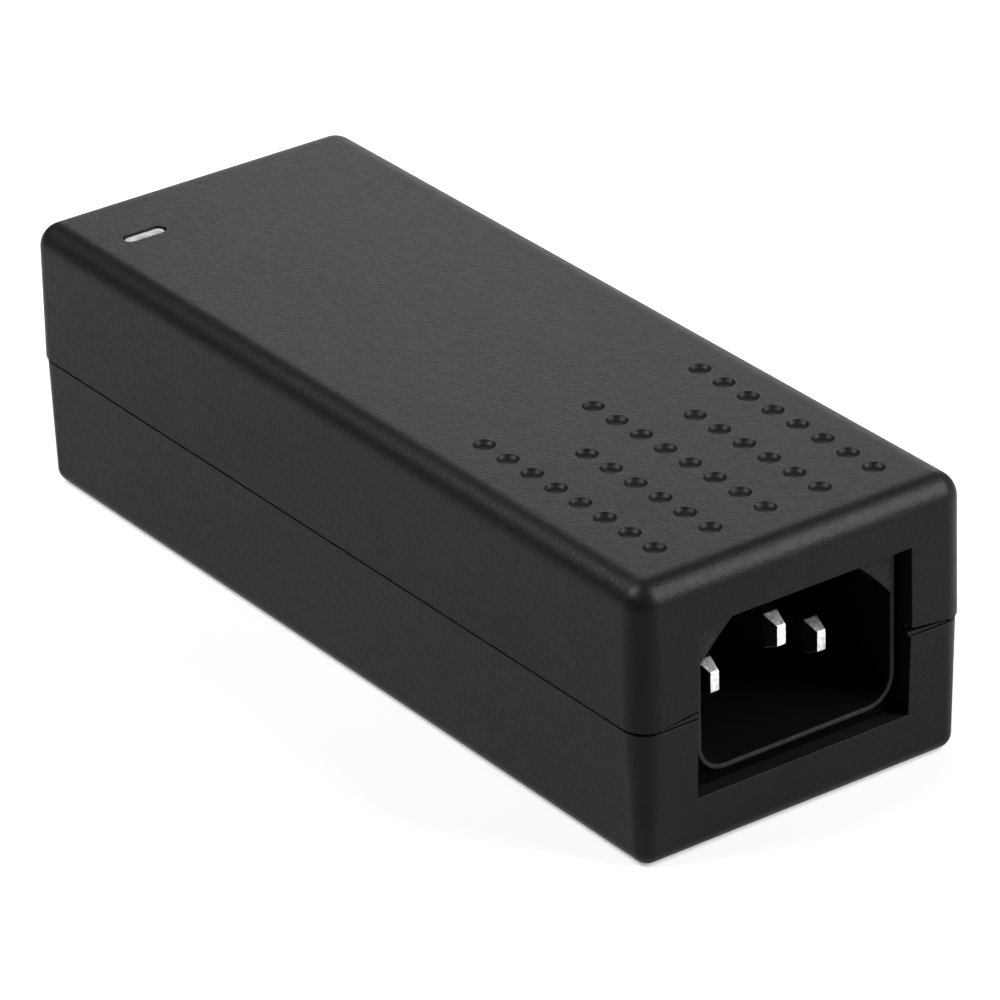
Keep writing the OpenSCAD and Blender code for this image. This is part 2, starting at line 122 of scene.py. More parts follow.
def new_piece(name, skins):
    """A mesh object, in metres, from one or more (points in mm, faces), with
    its faces turned outwards."""
    points, faces, start = [], [], 0
    for skin_points, skin_faces in skins:
        points.append(skin_points)
        faces += [[corner + start for corner in face] for face in skin_faces]
        start += len(skin_points)
    mesh = bpy.data.meshes.new(name)
    mesh.from_pydata((np.concatenate(points) * mm).tolist(), [], faces)
    mesh.validate()
    shape = bmesh.new()
    shape.from_mesh(mesh)
    bmesh.ops.recalc_face_normals(shape, faces=shape.faces)
    shape.to_mesh(mesh)
    shape.free()
    piece = bpy.data.objects.new(name, mesh)
    bpy.context.scene.collection.objects.link(piece)
    return piece


def new_material(name, roughness, metallic=0.0):
    """A material with its shader and a reader of the piece's own coordinates."""
    material = bpy.data.materials.new(name)
    material.use_nodes = True
    shader = material.node_tree.nodes["Principled BSDF"]
    shader.inputs["Roughness"].default_value = roughness
    shader.inputs["Metallic"].default_value = metallic
    return material, shader, new_node(shader, "TexCoord").outputs["Object"]


def new_node(near, kind):
    """A new node in the tree that holds a given node or socket."""
    return near.id_data.nodes.new("ShaderNode" + kind)


def join(value, socket):
    """Links a socket to a changing value, or sets it to a plain one."""
    if isinstance(value, bpy.types.NodeSocket):
        socket.id_data.links.new(value, socket)
    else:
        socket.default_value = value


def noise(place, size, detail=2.0, share=1.0):
    """Noise whose lumps are about size millimetres across. A share below one
    scales x down first, so that the lumps run along x."""
    if share < 1:
        scaled = new_node(place, "Mapping")
        scaled.inputs["Scale"].default_value = (share, 1, 1)
        join(place, scaled.inputs["Vector"])
        place = scaled.outputs["Vector"]
    cloud = new_node(place, "TexNoise")
    cloud.inputs["Scale"].default_value = 1 / (size * mm)
    cloud.inputs["Detail"].default_value = detail
    join(place, cloud.inputs["Vector"])
    return cloud.outputs["Fac"]


def mixed(amount, low, high, blend="MIX"):
    """Mixes two colours, plain or changing, by a changing amount."""
    mix = new_node(amount, "Mix")
    mix.data_type = "RGBA"
    mix.blend_type = blend
    join(amount, mix.inputs["Factor"])
    for colour, key in ((low, "A"), (high, "B")):
        join((*colour, 1) if isinstance(colour, tuple) else colour, mix.inputs[key])
    return mix.outputs["Result"]


def spread(value, low, high, start=0.3, end=0.7):
    """Stretches a value's middle range between low and high."""
    stretch = new_node(value, "MapRange")
    join(value, stretch.inputs["Value"])
    for key, level in zip(("From Min", "From Max", "To Min", "To Max"), (start, end, low, high)):
        stretch.inputs[key].default_value = level
    return stretch.outputs["Result"]


floor_half = 900.0
floor_points = np.array([[-1, -1, 0], [1, -1, 0], [1, 1, 0], [-1, 1, 0]]) * floor_half
floor = new_piece("floor", [(floor_points, [[0, 1, 2, 3]])])
floor_paper, shader, place = new_material("pale_floor", 0.9)
join(mixed(noise(place, 40), (0.36, 0.36, 0.36), (0.38, 0.38, 0.38)), shader.inputs["Base Color"])
shader.inputs["Emission Color"].default_value = (1, 1, 1, 1)
shader.inputs["Emission Strength"].default_value = 0.36
floor.data.materials.append(floor_paper)


def soft_box(name, azimuth, elevation, distance, size, power):
    """A square lamp on a sphere round the case, turned to face it."""
    lamp = bpy.data.lights.new(name, "AREA")
    lamp.shape = "SQUARE"
    lamp.size = size * mm
    lamp.energy = power
    out = direction(math.radians(azimuth), math.radians(elevation))
    holder = bpy.data.objects.new(name, lamp)
    holder.location = (Vector(case_middle) + out * distance) * mm
    holder.rotation_euler = out.to_track_quat("Z", "Y").to_euler()
    bpy.context.scene.collection.objects.link(holder)


soft_box("left_front_box", 330, 54, 700, 320, 10.0)
soft_box("right_corner_box", 137, 43, 700, 340, 7.5)
soft_box("backdrop_box", 229, 20, 700, 420, 1.5)
soft_box("end_edge_box", 124, 24, 800, 240, 6.0)

room = bpy.data.worlds.new("room")
room.use_nodes = True
room.node_tree.nodes["Background"].inputs["Color"].default_value = (1, 1, 1, 1)
room.node_tree.nodes["Background"].inputs["Strength"].default_value = 0.04
bpy.context.scene.world = room
bpy.context.scene.view_settings.view_transform = "Standard"

# ==== Top shell ==============================================================
# The upper half of the case, moulded in fine-grained black plastic. Its lower
# edge drops over the bottom shell's tongue, and four posts inside take the
# screws. Blind vent dimples and the indicator's slot are part of the moulding.


def box_of(node):
    """The lowest and highest corners of a CAD node, in millimetres."""
    return (np.array(corner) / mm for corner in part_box(node))


wall = 2.2
corner_radius = 3.0
split_height = 16.0
half_length, half_width = (case_high - case_low)[:2] / 2
case_height = case_high[2]
joint_gap = 0.36
tongue_height = 1.4

top_edge_radius = 2.8
top_draft = math.radians(0.6)
dimple_radius = 1.2
dimple_depth = 0.44
vents_middle = 0.4
dimple_step, row_step = 4.2, 7.1
long_row, short_row = 8, 6
first_dimple = half_length - 7.3
window_low, window_high = box_of("indicator_lens")
window_at = (window_low + window_high)[:2] / 2
window_length, window_width = 5.4, 1.8
opening_half = 13.85
opening_low, opening_high = 6.4, 26.35
jack_middle = 9.0
jack_opening_half = 8.4
jack_opening_low, jack_opening_high = 6.7, 20.8
post_radius, post_end = 2.7, 12.2
pilot_radius, pilot_top = 1.3, 22.0
screw_places = [(50, 16.3), (50, -16.3), (-31.5, 15.9), (-31.5, -15.9)]


def quarter_turn(count):
    """Evenly spaced angles from nought to a right angle."""
    return np.linspace(0, math.pi / 2, count)


def rounded_outline(half_a, half_b, radius, steps=10):
    """A rectangle with round corners, counterclockwise: each corner is a
    quarter circle of steps + 1 points about its own centre."""
    angles = quarter_turn(steps + 1) + np.arange(4)[:, None] * math.pi / 2
    centre_a = (half_a - radius) * np.array([1, -1, -1, 1])[:, None]
    centre_b = (half_b - radius) * np.array([1, 1, -1, -1])[:, None]
    return np.stack([centre_a + radius * np.cos(angles),
                     centre_b + radius * np.sin(angles)], -1).reshape(-1, 2)


def case_half(inset, edge_radius, draft, height, lip=0.0):
    """Half the case as a solid on the joint line, its outer edge rounded.

    The profile starts with a quarter circle of the lip's radius, leans in by
    the draft up to the edge's start and then follows a quarter circle, while
    the corners shrink with it to nearly a point."""
    edge = max(edge_radius - inset, 0.5)
    upright = max(corner_radius - inset, 0.6)
    lean = math.tan(draft) * (height - inset - edge)
    turn = quarter_turn(4)[:4 if lip else 1]
    angles = quarter_turn(13)
    insets = np.concatenate([lip * (1 - np.sin(turn)), lean + edge * (1 - np.cos(angles)),
                             [lean + edge + 0.4]])
    heights = np.concatenate([lip * (1 - np.cos(turn)),
                              height - inset - edge + edge * np.sin(angles), [height - inset]])
    radii = np.concatenate([upright - lip * (1 - np.sin(turn)),
                            np.maximum(edge * np.cos(angles), 0.03), [0.03]])
    rings = []
    for step_in, level, radius in zip(insets, heights, radii):
        outline = rounded_outline(half_length - inset - step_in,
                                  half_width - inset - step_in, radius)
        rings.append(at_z(outline, level))
    return np.array(rings)


def prism(outline, low, high, axis="z"):
    """An outline pushed straight from low to high along z, or along x for an
    outline drawn as (y, z)."""
    levels = [np.full(len(outline), low), np.full(len(outline), high)]
    columns = [[outline[:, 0], outline[:, 1], level] for level in levels]
    if axis == "x":
        columns = [[level, outline[:, 0], outline[:, 1]] for level in levels]
    return skin(np.array(columns).transpose(0, 2, 1))


def rectangle(low_a, high_a, low_b, high_b):
    """The corners of an upright rectangle, counterclockwise."""
    return np.array([[low_a, low_b], [high_a, low_b], [high_a, high_b], [low_a, high_b]])


def turned(profile, centres, points=40):
    """Solids of revolution about upright axes, one at each centre.

    profile lists (radius, height) from the bottom to the top."""
    angles = np.arange(points) * 2 * math.pi / points
    profile = np.array(profile, float)
    rings = np.stack([profile[:, :1] * np.cos(angles), profile[:, :1] * np.sin(angles),
                      np.repeat(profile[:, 1:], points, 1)], -1)
    return [skin(rings + np.array([*centre, 0])) for centre in centres]


def carve(solid, skins, operation="DIFFERENCE"):
    """Takes other solids away from a piece, or adds them, and applies it."""
    cutter = new_piece("cutter", skins)
    cut = solid.modifiers.new("cut", "BOOLEAN")
    cut.operation = operation
    cut.solver = "EXACT"
    cut.object = cutter
    cut.use_self = False
    shaped = bpy.data.meshes.new_from_object(
        solid.evaluated_get(bpy.context.evaluated_depsgraph_get()))
    solid.modifiers.clear()
    plain = solid.data
    solid.data = shaped
    shaped.name = plain.name
    bpy.data.meshes.remove(plain)
    bpy.data.objects.remove(cutter)


def flared(outline, face, side=1, radius=0.07):
    """A cutter for an opening in an end wall, its outer edge rounded.

    outline(grow) gives the opening's (y, z) corners, moved out by grow, and
    face(z) how far out the wall's face stands at a height. Near the face the
    opening grows along a quarter circle."""
    turn = quarter_turn(5)
    reach = np.concatenate([[-3 * wall], radius * (np.sin(turn) - 1), [1]])
    grow = np.concatenate([[0], radius * (1 - np.cos(turn)), [radius]])
    outlines = np.array([outline(amount) for amount in grow])
    along = side * (face(outlines[..., 1]) + reach[:, None])
    return skin(np.concatenate([along[..., None], outlines], -1))


def finish_piece(piece, material, slot_name, *nodes):
    """Gives a piece its shading and material, puts it under the root body
    and hides the CAD nodes that it stands in for.
    """
    piece.data.shade_smooth()
    piece.data.set_sharp_from_angle(angle=math.radians(38))
    even = piece.modifiers.new("even shading", "WEIGHTED_NORMAL")
    even.keep_sharp = True
    piece.data.materials.clear()
    piece.data.materials.append(material)
    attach(piece, "root")
    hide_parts(*nodes)


def lifted(rings, height, flip=False):
    """Rings moved up by height, or turned upside down below it."""
    moved = rings.copy()
    moved[..., 2] = height + (-rings[..., 2] if flip else rings[..., 2])
    return moved[::-1] if flip else moved


def at_z(outline, z):
    """An (x, y) outline laid level at a height."""
    return np.insert(outline, 2, z, axis=1)


def stadium(centre, length, width, grow=0.0, steps=12):
    """A slot outline along y: two half circles joined by straight sides."""
    radius = width / 2 + grow
    half = (length - width) / 2
    angles = np.linspace(0, math.pi, steps + 1)
    upper = np.column_stack([radius * np.cos(angles), half + radius * np.sin(angles)])
    return np.concatenate([upper, -upper]) + centre


def arithmetic(operation, first, second=0.0):
    """One Math node on a socket and a second socket or number."""
    step = new_node(first, "Math")
    step.operation = operation
    join(first, step.inputs[0])
    join(second, step.inputs[1])
    return step.outputs[0]


def surface(shader, colour, roughness, height, depth, strength=1.0):
    """Gives a shader its changing colour and roughness, and raises the surface
    by the height times depth millimetres."""
    join(colour, shader.inputs["Base Color"])
    join(roughness, shader.inputs["Roughness"])
    bump = new_node(shader, "Bump")
    bump.inputs["Distance"].default_value = depth * mm
    bump.inputs["Strength"].default_value = strength
    join(height, bump.inputs["Height"])
    join(bump.outputs["Normal"], shader.inputs["Normal"])


def black_case_plastic():
    """Black moulded plastic with a fine spark-eroded grain: two sizes of
    noise raise the surface, and slower noise shifts its tone and its sheen."""
    material, shader, place = new_material("black_case_plastic", 0.43)
    tone = spread(noise(place, 6, 4), 0, 1, 0.2, 0.8)
    grain = arithmetic("ADD", noise(place, 0.22, 1), noise(place, 0.5, 2))
    surface(shader, mixed(tone, (0.0028, 0.0028, 0.0030), (0.0042, 0.0042, 0.0045)),
            spread(noise(place, 1.2, 4), 0.40, 0.46), grain, 0.032)
    shader.inputs["Specular IOR Level"].default_value = 0.085
    return material


case_plastic = black_case_plastic()

lip_radius = 0.08
outer = case_half(0, top_edge_radius, top_draft,
                  case_height - split_height - joint_gap / 2, lip_radius)
top_shell = new_piece("top_shell_moulding", [skin(lifted(outer, split_height + joint_gap / 2))])
inner = case_half(wall, top_edge_radius, top_draft, case_height - split_height + 1)
carve(top_shell, [skin(lifted(inner, split_height - 1))])
groove = rounded_outline(half_length - wall / 2, half_width - wall / 2, corner_radius - wall / 2)
carve(top_shell, [prism(groove, split_height - 1, split_height + tongue_height + 0.1)])
post = [(post_radius, post_end), (post_radius, case_height - wall + 0.05)]
carve(top_shell, turned(post, screw_places), "UNION")
pilot_hole = [(pilot_radius, post_end - 0.2), (pilot_radius, pilot_top)]
carve(top_shell, turned(pilot_hole, screw_places))


def inlet_opening(grow):
    return rectangle(-opening_half - grow, opening_half + grow,
                     opening_low - grow, opening_high + grow)


def jack_opening(middle):
    return lambda grow: rectangle(middle - jack_opening_half - grow,
                                  middle + jack_opening_half + grow,
                                  jack_opening_low - grow, jack_opening_high + grow)


def end_openings(face):
    """Cutters for the inlet at one end and the two jacks at the other."""
    return [flared(inlet_opening, face), flared(jack_opening(-jack_middle), face, -1),
            flared(jack_opening(jack_middle), face, -1)]


carve(top_shell, end_openings(lambda z: half_length - math.tan(top_draft) * (z - split_height)))
relief_back = half_length - wall / 2 - 0.05
relief_inner, relief_outer = opening_half - 0.5, opening_half + 5.2
relief_wedge = np.array([(relief_inner, split_height - 1), (relief_outer, split_height - 1),
                         (relief_outer, split_height + 0.35), (relief_inner, split_height + 1.1)])
carve(top_shell, [prism(relief_wedge * (side, 1), relief_back, half_length + 1, "x")
                  for side in (-1, 1)])

turn = quarter_turn(5)
window_flare = 0.15
window_levels = np.concatenate([[-2 * wall], window_flare * (np.sin(turn) - 1), [1]])
window_growth = np.concatenate([[0], window_flare * (1 - np.cos(turn)), [window_flare]])
window_rings = np.array([at_z(stadium(window_at, window_length, window_width, growth),
                              case_height + level)
                         for level, growth in zip(window_levels, window_growth)])
carve(top_shell, [skin(window_rings)])

dimple_places = [(first_dimple - step * dimple_step, row * row_step + vents_middle)
                 for row in range(-2, 3)
                 for step in range(short_row if abs(row) == 1 else long_row)]
rim_slope = math.atan(4 * dimple_depth / dimple_radius)
dimple_flare = 0.1
share = np.linspace(0.03, 1, 12)
rim_angles = np.linspace(rim_slope, 0, 4)
dimple = [*zip(dimple_radius * share, case_height - dimple_depth * (1 - share ** 4)
               - dimple_flare * (1 - math.cos(rim_slope))),
          *zip(dimple_radius + dimple_flare * (math.sin(rim_slope) - np.sin(rim_angles[1:])),
               case_height - dimple_flare * (1 - np.cos(rim_angles[1:]))),
          (dimple_radius + dimple_flare * math.sin(rim_slope), case_height + 1)]
carve(top_shell, turned(dimple, dimple_places, 32))
finish_piece(top_shell, case_plastic, "case_plastic", "top_shell")

# ==== Bottom shell ===========================================================
# The lower half of the case, in the same plastic. A tongue round its upper edge
# sits inside the top shell; four screw wells and a shallow bed for the label
# are sunk in the underside.

base_edge_radius = 1.8
base_draft = math.radians(2.1)
joint_step = 0.2
well_radius, well_depth, well_round = 2.3, 4.0, 0.2
screw_hole = 1.4
rest_radius = 2.0
post_top = 12.0
board_low, board_high = box_of("circuit_board")
label_low, label_high = box_of("rating_label")
bed_margin = 0.5
bed_depth = 0.3

outer = case_half(joint_step, base_edge_radius + joint_step, base_draft,
                  split_height + joint_step - joint_gap / 2, lip_radius)
bottom_shell = new_piece("bottom_shell_moulding",
                         [skin(lifted(outer, split_height - joint_gap / 2, flip=True))])
tongue = rounded_outline(half_length - wall / 2 - 0.1, half_width - wall / 2 - 0.1,
                         corner_radius - wall / 2 - 0.1)
carve(bottom_shell, [prism(tongue, split_height - 1, split_height + tongue_height)], "UNION")
tab_front, tab_low = half_length - 0.35, split_height - 0.04
tab_heights = ((relief_inner + 0.25, 0.46), (relief_outer - 0.4, 0.12))
tab_round = 0.1


def tab_profile(side, y, height):
    """The tab's (x, z) outline at y: square behind, its front edge rounded."""
    top = tab_low + height
    outline = np.array([(relief_back - 0.5, tab_low), (tab_front, tab_low),
                        *zip(tab_front - tab_round * (1 - np.cos(turn)),
                             top - tab_round * (1 - np.sin(turn))),
                        (relief_back - 0.5, top)])
    return np.insert(outline, 1, side * y, axis=1)


tabs = [skin(np.array([tab_profile(side, *end) for end in tab_heights])) for side in (-1, 1)]
inner = case_half(wall, base_edge_radius, base_draft, split_height)
inner = lifted(inner, split_height, flip=True)
neck = rounded_outline(half_length - wall, half_width - wall, corner_radius - wall)
carve(bottom_shell, [skin(inner)])
carve(bottom_shell, [prism(neck, split_height - 0.01, split_height + 3)])
post = [(post_radius, wall - 0.05), (post_radius, post_top)]
carve(bottom_shell, turned(post, screw_places), "UNION")
rest_places = [(31.5, 15.9), (31.5, -15.9), (-48, 0), (0, 0)]
board_rest = [(rest_radius, wall - 0.05), (rest_radius, board_low[2])]
carve(bottom_shell, turned(board_rest, rest_places), "UNION")
well = [(well_radius + well_round, -1),
        *zip(well_radius + well_round * (1 - np.sin(turn)), well_round * (1 - np.cos(turn))),
        (well_radius, well_depth), (screw_hole, well_depth), (screw_hole, post_top + 1)]
carve(bottom_shell, turned(well, screw_places))
carve(bottom_shell, end_openings(lambda z: half_length - joint_step
                                 - math.tan(base_draft) * (split_height - z)))
carve(bottom_shell, tabs, "UNION")
bed = rounded_outline((label_high - label_low)[0] / 2 + bed_margin,
                      (label_high - label_low)[1] / 2 + bed_margin, 1.5)
bed += (label_low + label_high)[:2] / 2
carve(bottom_shell, [prism(bed, -1, bed_depth)])
finish_piece(bottom_shell, case_plastic, "case_plastic", "bottom_shell")

# ==== Appliance inlet ========================================================
# One moulding in black nylon: a deep six-sided mouth for the mains connector, its
# rim a little behind the end face, with a slot for each pin in its floor. A
# flange traps it behind the end wall.

mouth_width, mouth_height = 24.6, 17.1
mouth_low = 8.5
mouth_depth = 16.0
mouth_corner, mouth_chamfer = 3.0, 4.7
shroud_wall = 0.6
inlet_low, inlet_high = box_of("inlet_body")
rim_x = inlet_high[0]
flange_front = half_length - wall - 0.6
flange_back = flange_front - 1.6
flange_middle = (inlet_low + inlet_high)[2] / 2
pin_pitch = 14.0
pin_width, pin_height = 2.0, 4.0


def mirrored(right):
    """A right half of a (y, z) outline, closed by its mirror image."""
    return np.concatenate([right, right[::-1] * (-1, 1)])


def lower_corner(half, low, radius, steps):
    """The round lower corner of a right half, a quarter circle of points."""
    angles = quarter_turn(steps + 1)
    return np.column_stack([half - radius + radius * np.sin(angles),
                            low + radius - radius * np.cos(angles)])


def mouth_outline(grow, steps=12):
    """The mouth's (y, z) outline, moved out by grow: round lower corners and
    chamfered upper ones, whose two ends are eased by a quarter of a sine."""
    half, corner = mouth_width / 2 + grow, mouth_corner + grow
    low, high = mouth_low - grow, mouth_low + mouth_height + grow
    cut = mouth_chamfer + 0.6 * grow
    share = np.linspace(0, 1, steps + 1)
    ease = 0.12 * np.sin(share * math.pi)
    chamfer = np.column_stack([half - cut * share + ease, high - cut * (1 - share) + ease])
    return mirrored(np.concatenate([lower_corner(half, low, corner, steps), chamfer]))


def shroud_outline(inset, steps=12):
    """The outside of the shroud, moved in by inset: round lower corners and
    square upper ones, with as many points as the mouth's outline."""
    half = mouth_width / 2 + shroud_wall - inset
    corner = mouth_corner + shroud_wall - inset
    low, high = mouth_low - shroud_wall + inset, mouth_low + mouth_height + shroud_wall - inset
    share = np.linspace(0, 1, steps + 1)
    upper = np.column_stack([half - mouth_chamfer * np.clip(2 * share - 1, 0, 1),
                             high - mouth_chamfer * np.clip(1 - 2 * share, 0, 1)])
    return mirrored(np.concatenate([lower_corner(half, low, corner, steps), upper]))


def flange_outline(outline):
    """The shroud's outline stretched to the flange's rectangle: each point goes
    straight out from the middle to the nearer pair of sides."""
    reach = (inlet_high - inlet_low)[1:] / 2
    away = outline - (0, flange_middle)
    return (0, flange_middle) + away / (np.abs(away) / reach).max(1)[:, None]


def at_x(outline, x):
    """A (y, z) outline stood up across the case at a place along it."""
    return np.insert(outline, 0, x, axis=1)


rim_round = 0.3
rings = [at_x(mouth_outline(-0.4), rim_x - mouth_depth)]
rings += [at_x(mouth_outline(-0.4 * (1 - math.sin(angle))),
               rim_x - mouth_depth + 0.4 * (1 - math.cos(angle))) for angle in turn]
rings += [at_x(mouth_outline(rim_round * (1 - math.cos(angle))),
               rim_x - rim_round * (1 - math.sin(angle))) for angle in turn]
rings += [at_x(shroud_outline(0.15 * (1 - math.sin(angle))),
               rim_x - 0.15 * (1 - math.cos(angle))) for angle in turn]
rings += [at_x(shroud_outline(0), flange_front)]
rings += [at_x(flange_outline(shroud_outline(0)), x) for x in (flange_front, flange_back)]
rings += [at_x(shroud_outline(0), x) for x in (flange_back, inlet_low[0])]
inlet = new_piece("inlet_moulding", [skin(np.array(rings))])
pin_places = [(pin_pitch / 2, 15.1), (-pin_pitch / 2, 15.1), (0, 19.1)]
carve(inlet, [prism(rectangle(y - pin_width / 2 - 0.05, y + pin_width / 2 + 0.05,
                              z - pin_height / 2 - 0.05, z + pin_height / 2 + 0.05),
                    inlet_low[0] - 1, rim_x - mouth_depth + 1, "x") for y, z in pin_places])


def coordinates(place):
    """The x, y and z of the place, each on its own socket, in metres."""
    axes = new_node(place, "SeparateXYZ")
    join(place, axes.inputs["Vector"])
    return [axes.outputs[axis] for axis in "XYZ"]


def black_nylon_painted_shade():
    """The case's black on the rim. Inside the mouth and round the flange,
    by the depth behind the rim, the colour is painted near black as shade,
    and the moulding is matt."""
    material, shader, place = new_material("black_nylon_painted_shade", 0.5)
    along = coordinates(place)[0]
    # Painted shade: behind the rim the colour turns near black.
    front = spread(along, 0, 1, (rim_x - 0.14) * mm, (rim_x - 0.03) * mm)
    mottle = spread(noise(place, 0.7, 4), 0, 1, 0.35, 0.7)
    rim_tone = mixed(mottle, (0.0105, 0.0105, 0.0108), (0.015, 0.015, 0.0155))
    dull = spread(along, 0.85, 0.4, (rim_x - 0.25) * mm, (rim_x - 0.05) * mm)
    surface(shader, mixed(front, (0.0008, 0.0008, 0.0008), rim_tone), dull,
            noise(place, 0.3, 2), 0.015)
    shader.inputs["Specular IOR Level"].default_value = 0.03
    return material


finish_piece(inlet, black_nylon_painted_shade(), "inlet_plastic", "inlet_body")

# ==== Inlet pins =============================================================
# Three solid brass blades, nickel plated, pressed into the inlet. The tip of
# each is coined to a taper, and the tail is bent down through the board. The
# earth pin stands higher and reaches further out.

taper = 1.9
taper_side, taper_flat = 0.45, 0.85
tail_thick = 1.0


def blade(node):
    """A pin as one skin: up the tail, round its square bend and out to the tip.

    Every ring is a rectangle with round corners in the plane across the path;
    at the bend the ring lies on the mitre between the two. The tip draws in
    on all four sides, and its edges are eased."""
    low, high = box_of(node)
    tail_back, tip = low[0], high[0]
    middle_y = (low + high)[1] / 2
    top, bottom = high[2], high[2] - pin_height
    middle_z = (top + bottom) / 2
    outline = rounded_outline(1, 1, 0.16, 3)
    across, over = outline.T

    def upright(z, inset=0.0):
        return np.column_stack([tail_back + tail_thick / 2 - over * (tail_thick / 2 - inset),
                                middle_y + across * (pin_width / 2 - inset),
                                np.full(len(outline), z)])

    def level(x, side=0.0, flat=0.0):
        return np.column_stack([np.full(len(outline), x),
                                middle_y + across * (pin_width / 2 - side),
                                middle_z + over * (pin_height / 2 - flat)])

    mitre = level(0)
    mitre[:, 0] = tail_back + tail_thick / 2 - over * tail_thick / 2
    rings = [upright(low[2], 0.2), upright(low[2] + 0.3), upright(bottom - 0.2), mitre,
             level(tail_back + tail_thick + 0.2), level(tip - taper - 0.25),
             level(tip - taper, 0.03, 0.05), level(tip - 0.25, taper_side - 0.05, taper_flat - 0.1),
             level(tip - 0.07, taper_side, taper_flat),
             level(tip, taper_side + 0.1, taper_flat + 0.1)]
    return skin(np.array(rings))


def nickel_plate_painted_shade(name, tip):
    """Nickel plate, bright on the end and on the top and bottom of the tip.
    The sides and all behind the tip are painted near black as shade. Fine
    scratches run along the blade and rub marks mottle it."""
    material, shader, place = new_material(name, 0.45, 1.0)
    scratches = noise(place, 0.2, 3, 0.3)
    facing = coordinates(place.node.outputs["Normal"])
    faces_clear_of_painted_shade = spread(arithmetic("ABSOLUTE", facing[1]), 1, 0, 0.5, 0.8)
    tip_clear_of_painted_shade = spread(coordinates(place)[0], 0, 1, (tip - taper - 0.15) * mm,
                    (tip - taper + 0.1) * mm)
    # Painted shade: the sides and everything behind the tip turn near black.
    clear_of_painted_shade = arithmetic("MULTIPLY", tip_clear_of_painted_shade, faces_clear_of_painted_shade)
    rubbed = spread(noise(place, 0.5, 4), 0, 1)
    bright = mixed(rubbed, (0.55, 0.55, 0.54), (0.95, 0.95, 0.94))
    surface(shader, mixed(clear_of_painted_shade, (0.03, 0.03, 0.03), bright), spread(scratches, 0.38, 0.6),
            scratches, 0.03, 0.8)
    return material


for node in ("line_pin", "neutral_pin", "earth_pin"):
    pin_tip = float(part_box(node)[1][0] / mm)
    finish_piece(new_piece(node.replace("pin", "blade"), [blade(node)]),
                 nickel_plate_painted_shade(node.replace("pin", "plate"), pin_tip), "pin_metal", node)

# ==== Network jacks ==========================================================
# Two shielded modular jacks stand side by side at the far end. Each has a black
# thermoplastic housing with a stepped plug opening, a folded shield of tinned
# sheet with two springs that touch the plug, and eight gilt spring wires.

plug_half, plug_height = 5.9, 6.8
latch_steps = [(3.1, 1.3), (1.7, 2.6)]
roof_thick = 2.6
sheet = 0.25
contact_radius = 0.18
contact_step = 1.02
contact_places = np.arange(-3.5, 4) * contact_step
comb_start = 9.6


def plug_outline(middle, low, grow):
    """The plug's stepped (y, z) outline: a rectangle over two narrower latch
    steps, each corner moved out by grow along both of its sides."""
    (wide, shallow), (narrow, deep) = latch_steps
    right = np.array([[narrow + grow, low - deep - grow], [narrow + grow, low - shallow - grow],
                      [wide + grow, low - shallow - grow], [wide + grow, low - grow],
                      [plug_half + grow, low - grow],
                      [plug_half + grow, low + plug_height + grow]])
    return mirrored(right) + (middle, 0)


def boxed(low, high, radius, ends):
    """A block along x with round long edges, and rounded by ends at its ends."""
    middle, half = (low + high)[1:] / 2, (high - low)[1:] / 2
    angles = quarter_turn(4)
    places = [(low[0] + ends * (1 - math.cos(a)), ends * (1 - math.sin(a))) for a in angles]
    places += [(high[0] - x + low[0], inset) for x, inset in places[::-1]]
    rings = [at_x(rounded_outline(half[0] - inset, half[1] - inset, radius, 5) + middle, x)
             for x, inset in places]
    return skin(np.array(rings))


def bent_path(corners, radius, steps=6):
    """A path through the corners, each turn replaced by an arc that touches
    both of its sides."""
    corners = np.array(corners, float)
    path = [corners[:1]]
    for before, corner, after in zip(corners, corners[1:], corners[2:]):
        inward = (before - corner) / np.linalg.norm(before - corner)
        onward = (after - corner) / np.linalg.norm(after - corner)
        half_turn = math.acos(np.clip(inward @ onward, -1, 1)) / 2
        middle = (inward + onward) / np.linalg.norm(inward + onward)
        centre = corner + middle * radius / math.sin(half_turn)
        first = corner + inward * radius / math.tan(half_turn) - centre
        last = corner + onward * radius / math.tan(half_turn) - centre
        share = np.linspace(0, 1, steps + 1)[:, None]
        spread_angle = math.pi - 2 * half_turn
        arc = (np.sin((1 - share) * spread_angle) * first + np.sin(share * spread_angle) * last)
        path.append(centre + arc / math.sin(spread_angle))
    path.append(corners[-1:])
    return np.concatenate(path)


def strip(path, half_wide, half_thick, outline, y=0.0):
    """A wire or leaf along a path in the (x, z) plane: the outline's second
    coordinate lies across the path and its first one along y."""
    run = np.gradient(path, axis=0)
    run /= np.linalg.norm(run, axis=1)[:, None]
    across = np.stack([-run[:, 1], run[:, 0]], -1)
    offset = outline[None, :, 1, None] * half_thick * across[:, None]
    place = path[:, None] + offset
    side = np.broadcast_to(y + outline[:, 0] * half_wide, place.shape[:2])
    return skin(np.stack([place[..., 0], side, place[..., 1]], -1))


def jack_housing(node):
    """The moulding, with its plug opening, a slot in the roof and the back for
    each contact and the comb that their ends move in."""
    low, high = box_of(node)
    middle = (low + high)[1] / 2
    roof = high[2] - roof_thick
    floor_level = roof - plug_height
    housing = new_piece(node.replace("housing", "body"), [boxed(low, high, 0.4, 0.15)])
    cavity = prism(plug_outline(middle, floor_level, 0), low[0] - 1, high[0] - 3.5, "x")
    roof_slots = [prism(rectangle(middle + place - 0.3, middle + place + 0.3, roof - 0.1,
                                  roof + 1.3), low[0] + 2.7, high[0] + 1, "x")
                  for place in contact_places]
    back_slot = prism(rectangle(middle - 4.4, middle + 4.4, low[2] - 1, roof + 1.3),
                      high[0] - 1.2, high[0] + 1, "x")
    comb = prism(rectangle(middle - 4.6, middle + 4.6, floor_level + 1.2, roof + 0.1),
                 low[0] + comb_start, high[0] - 2.4, "x")
    for cutters in ([cavity], roof_slots, [back_slot], [comb]):
        carve(housing, cutters)
    return housing


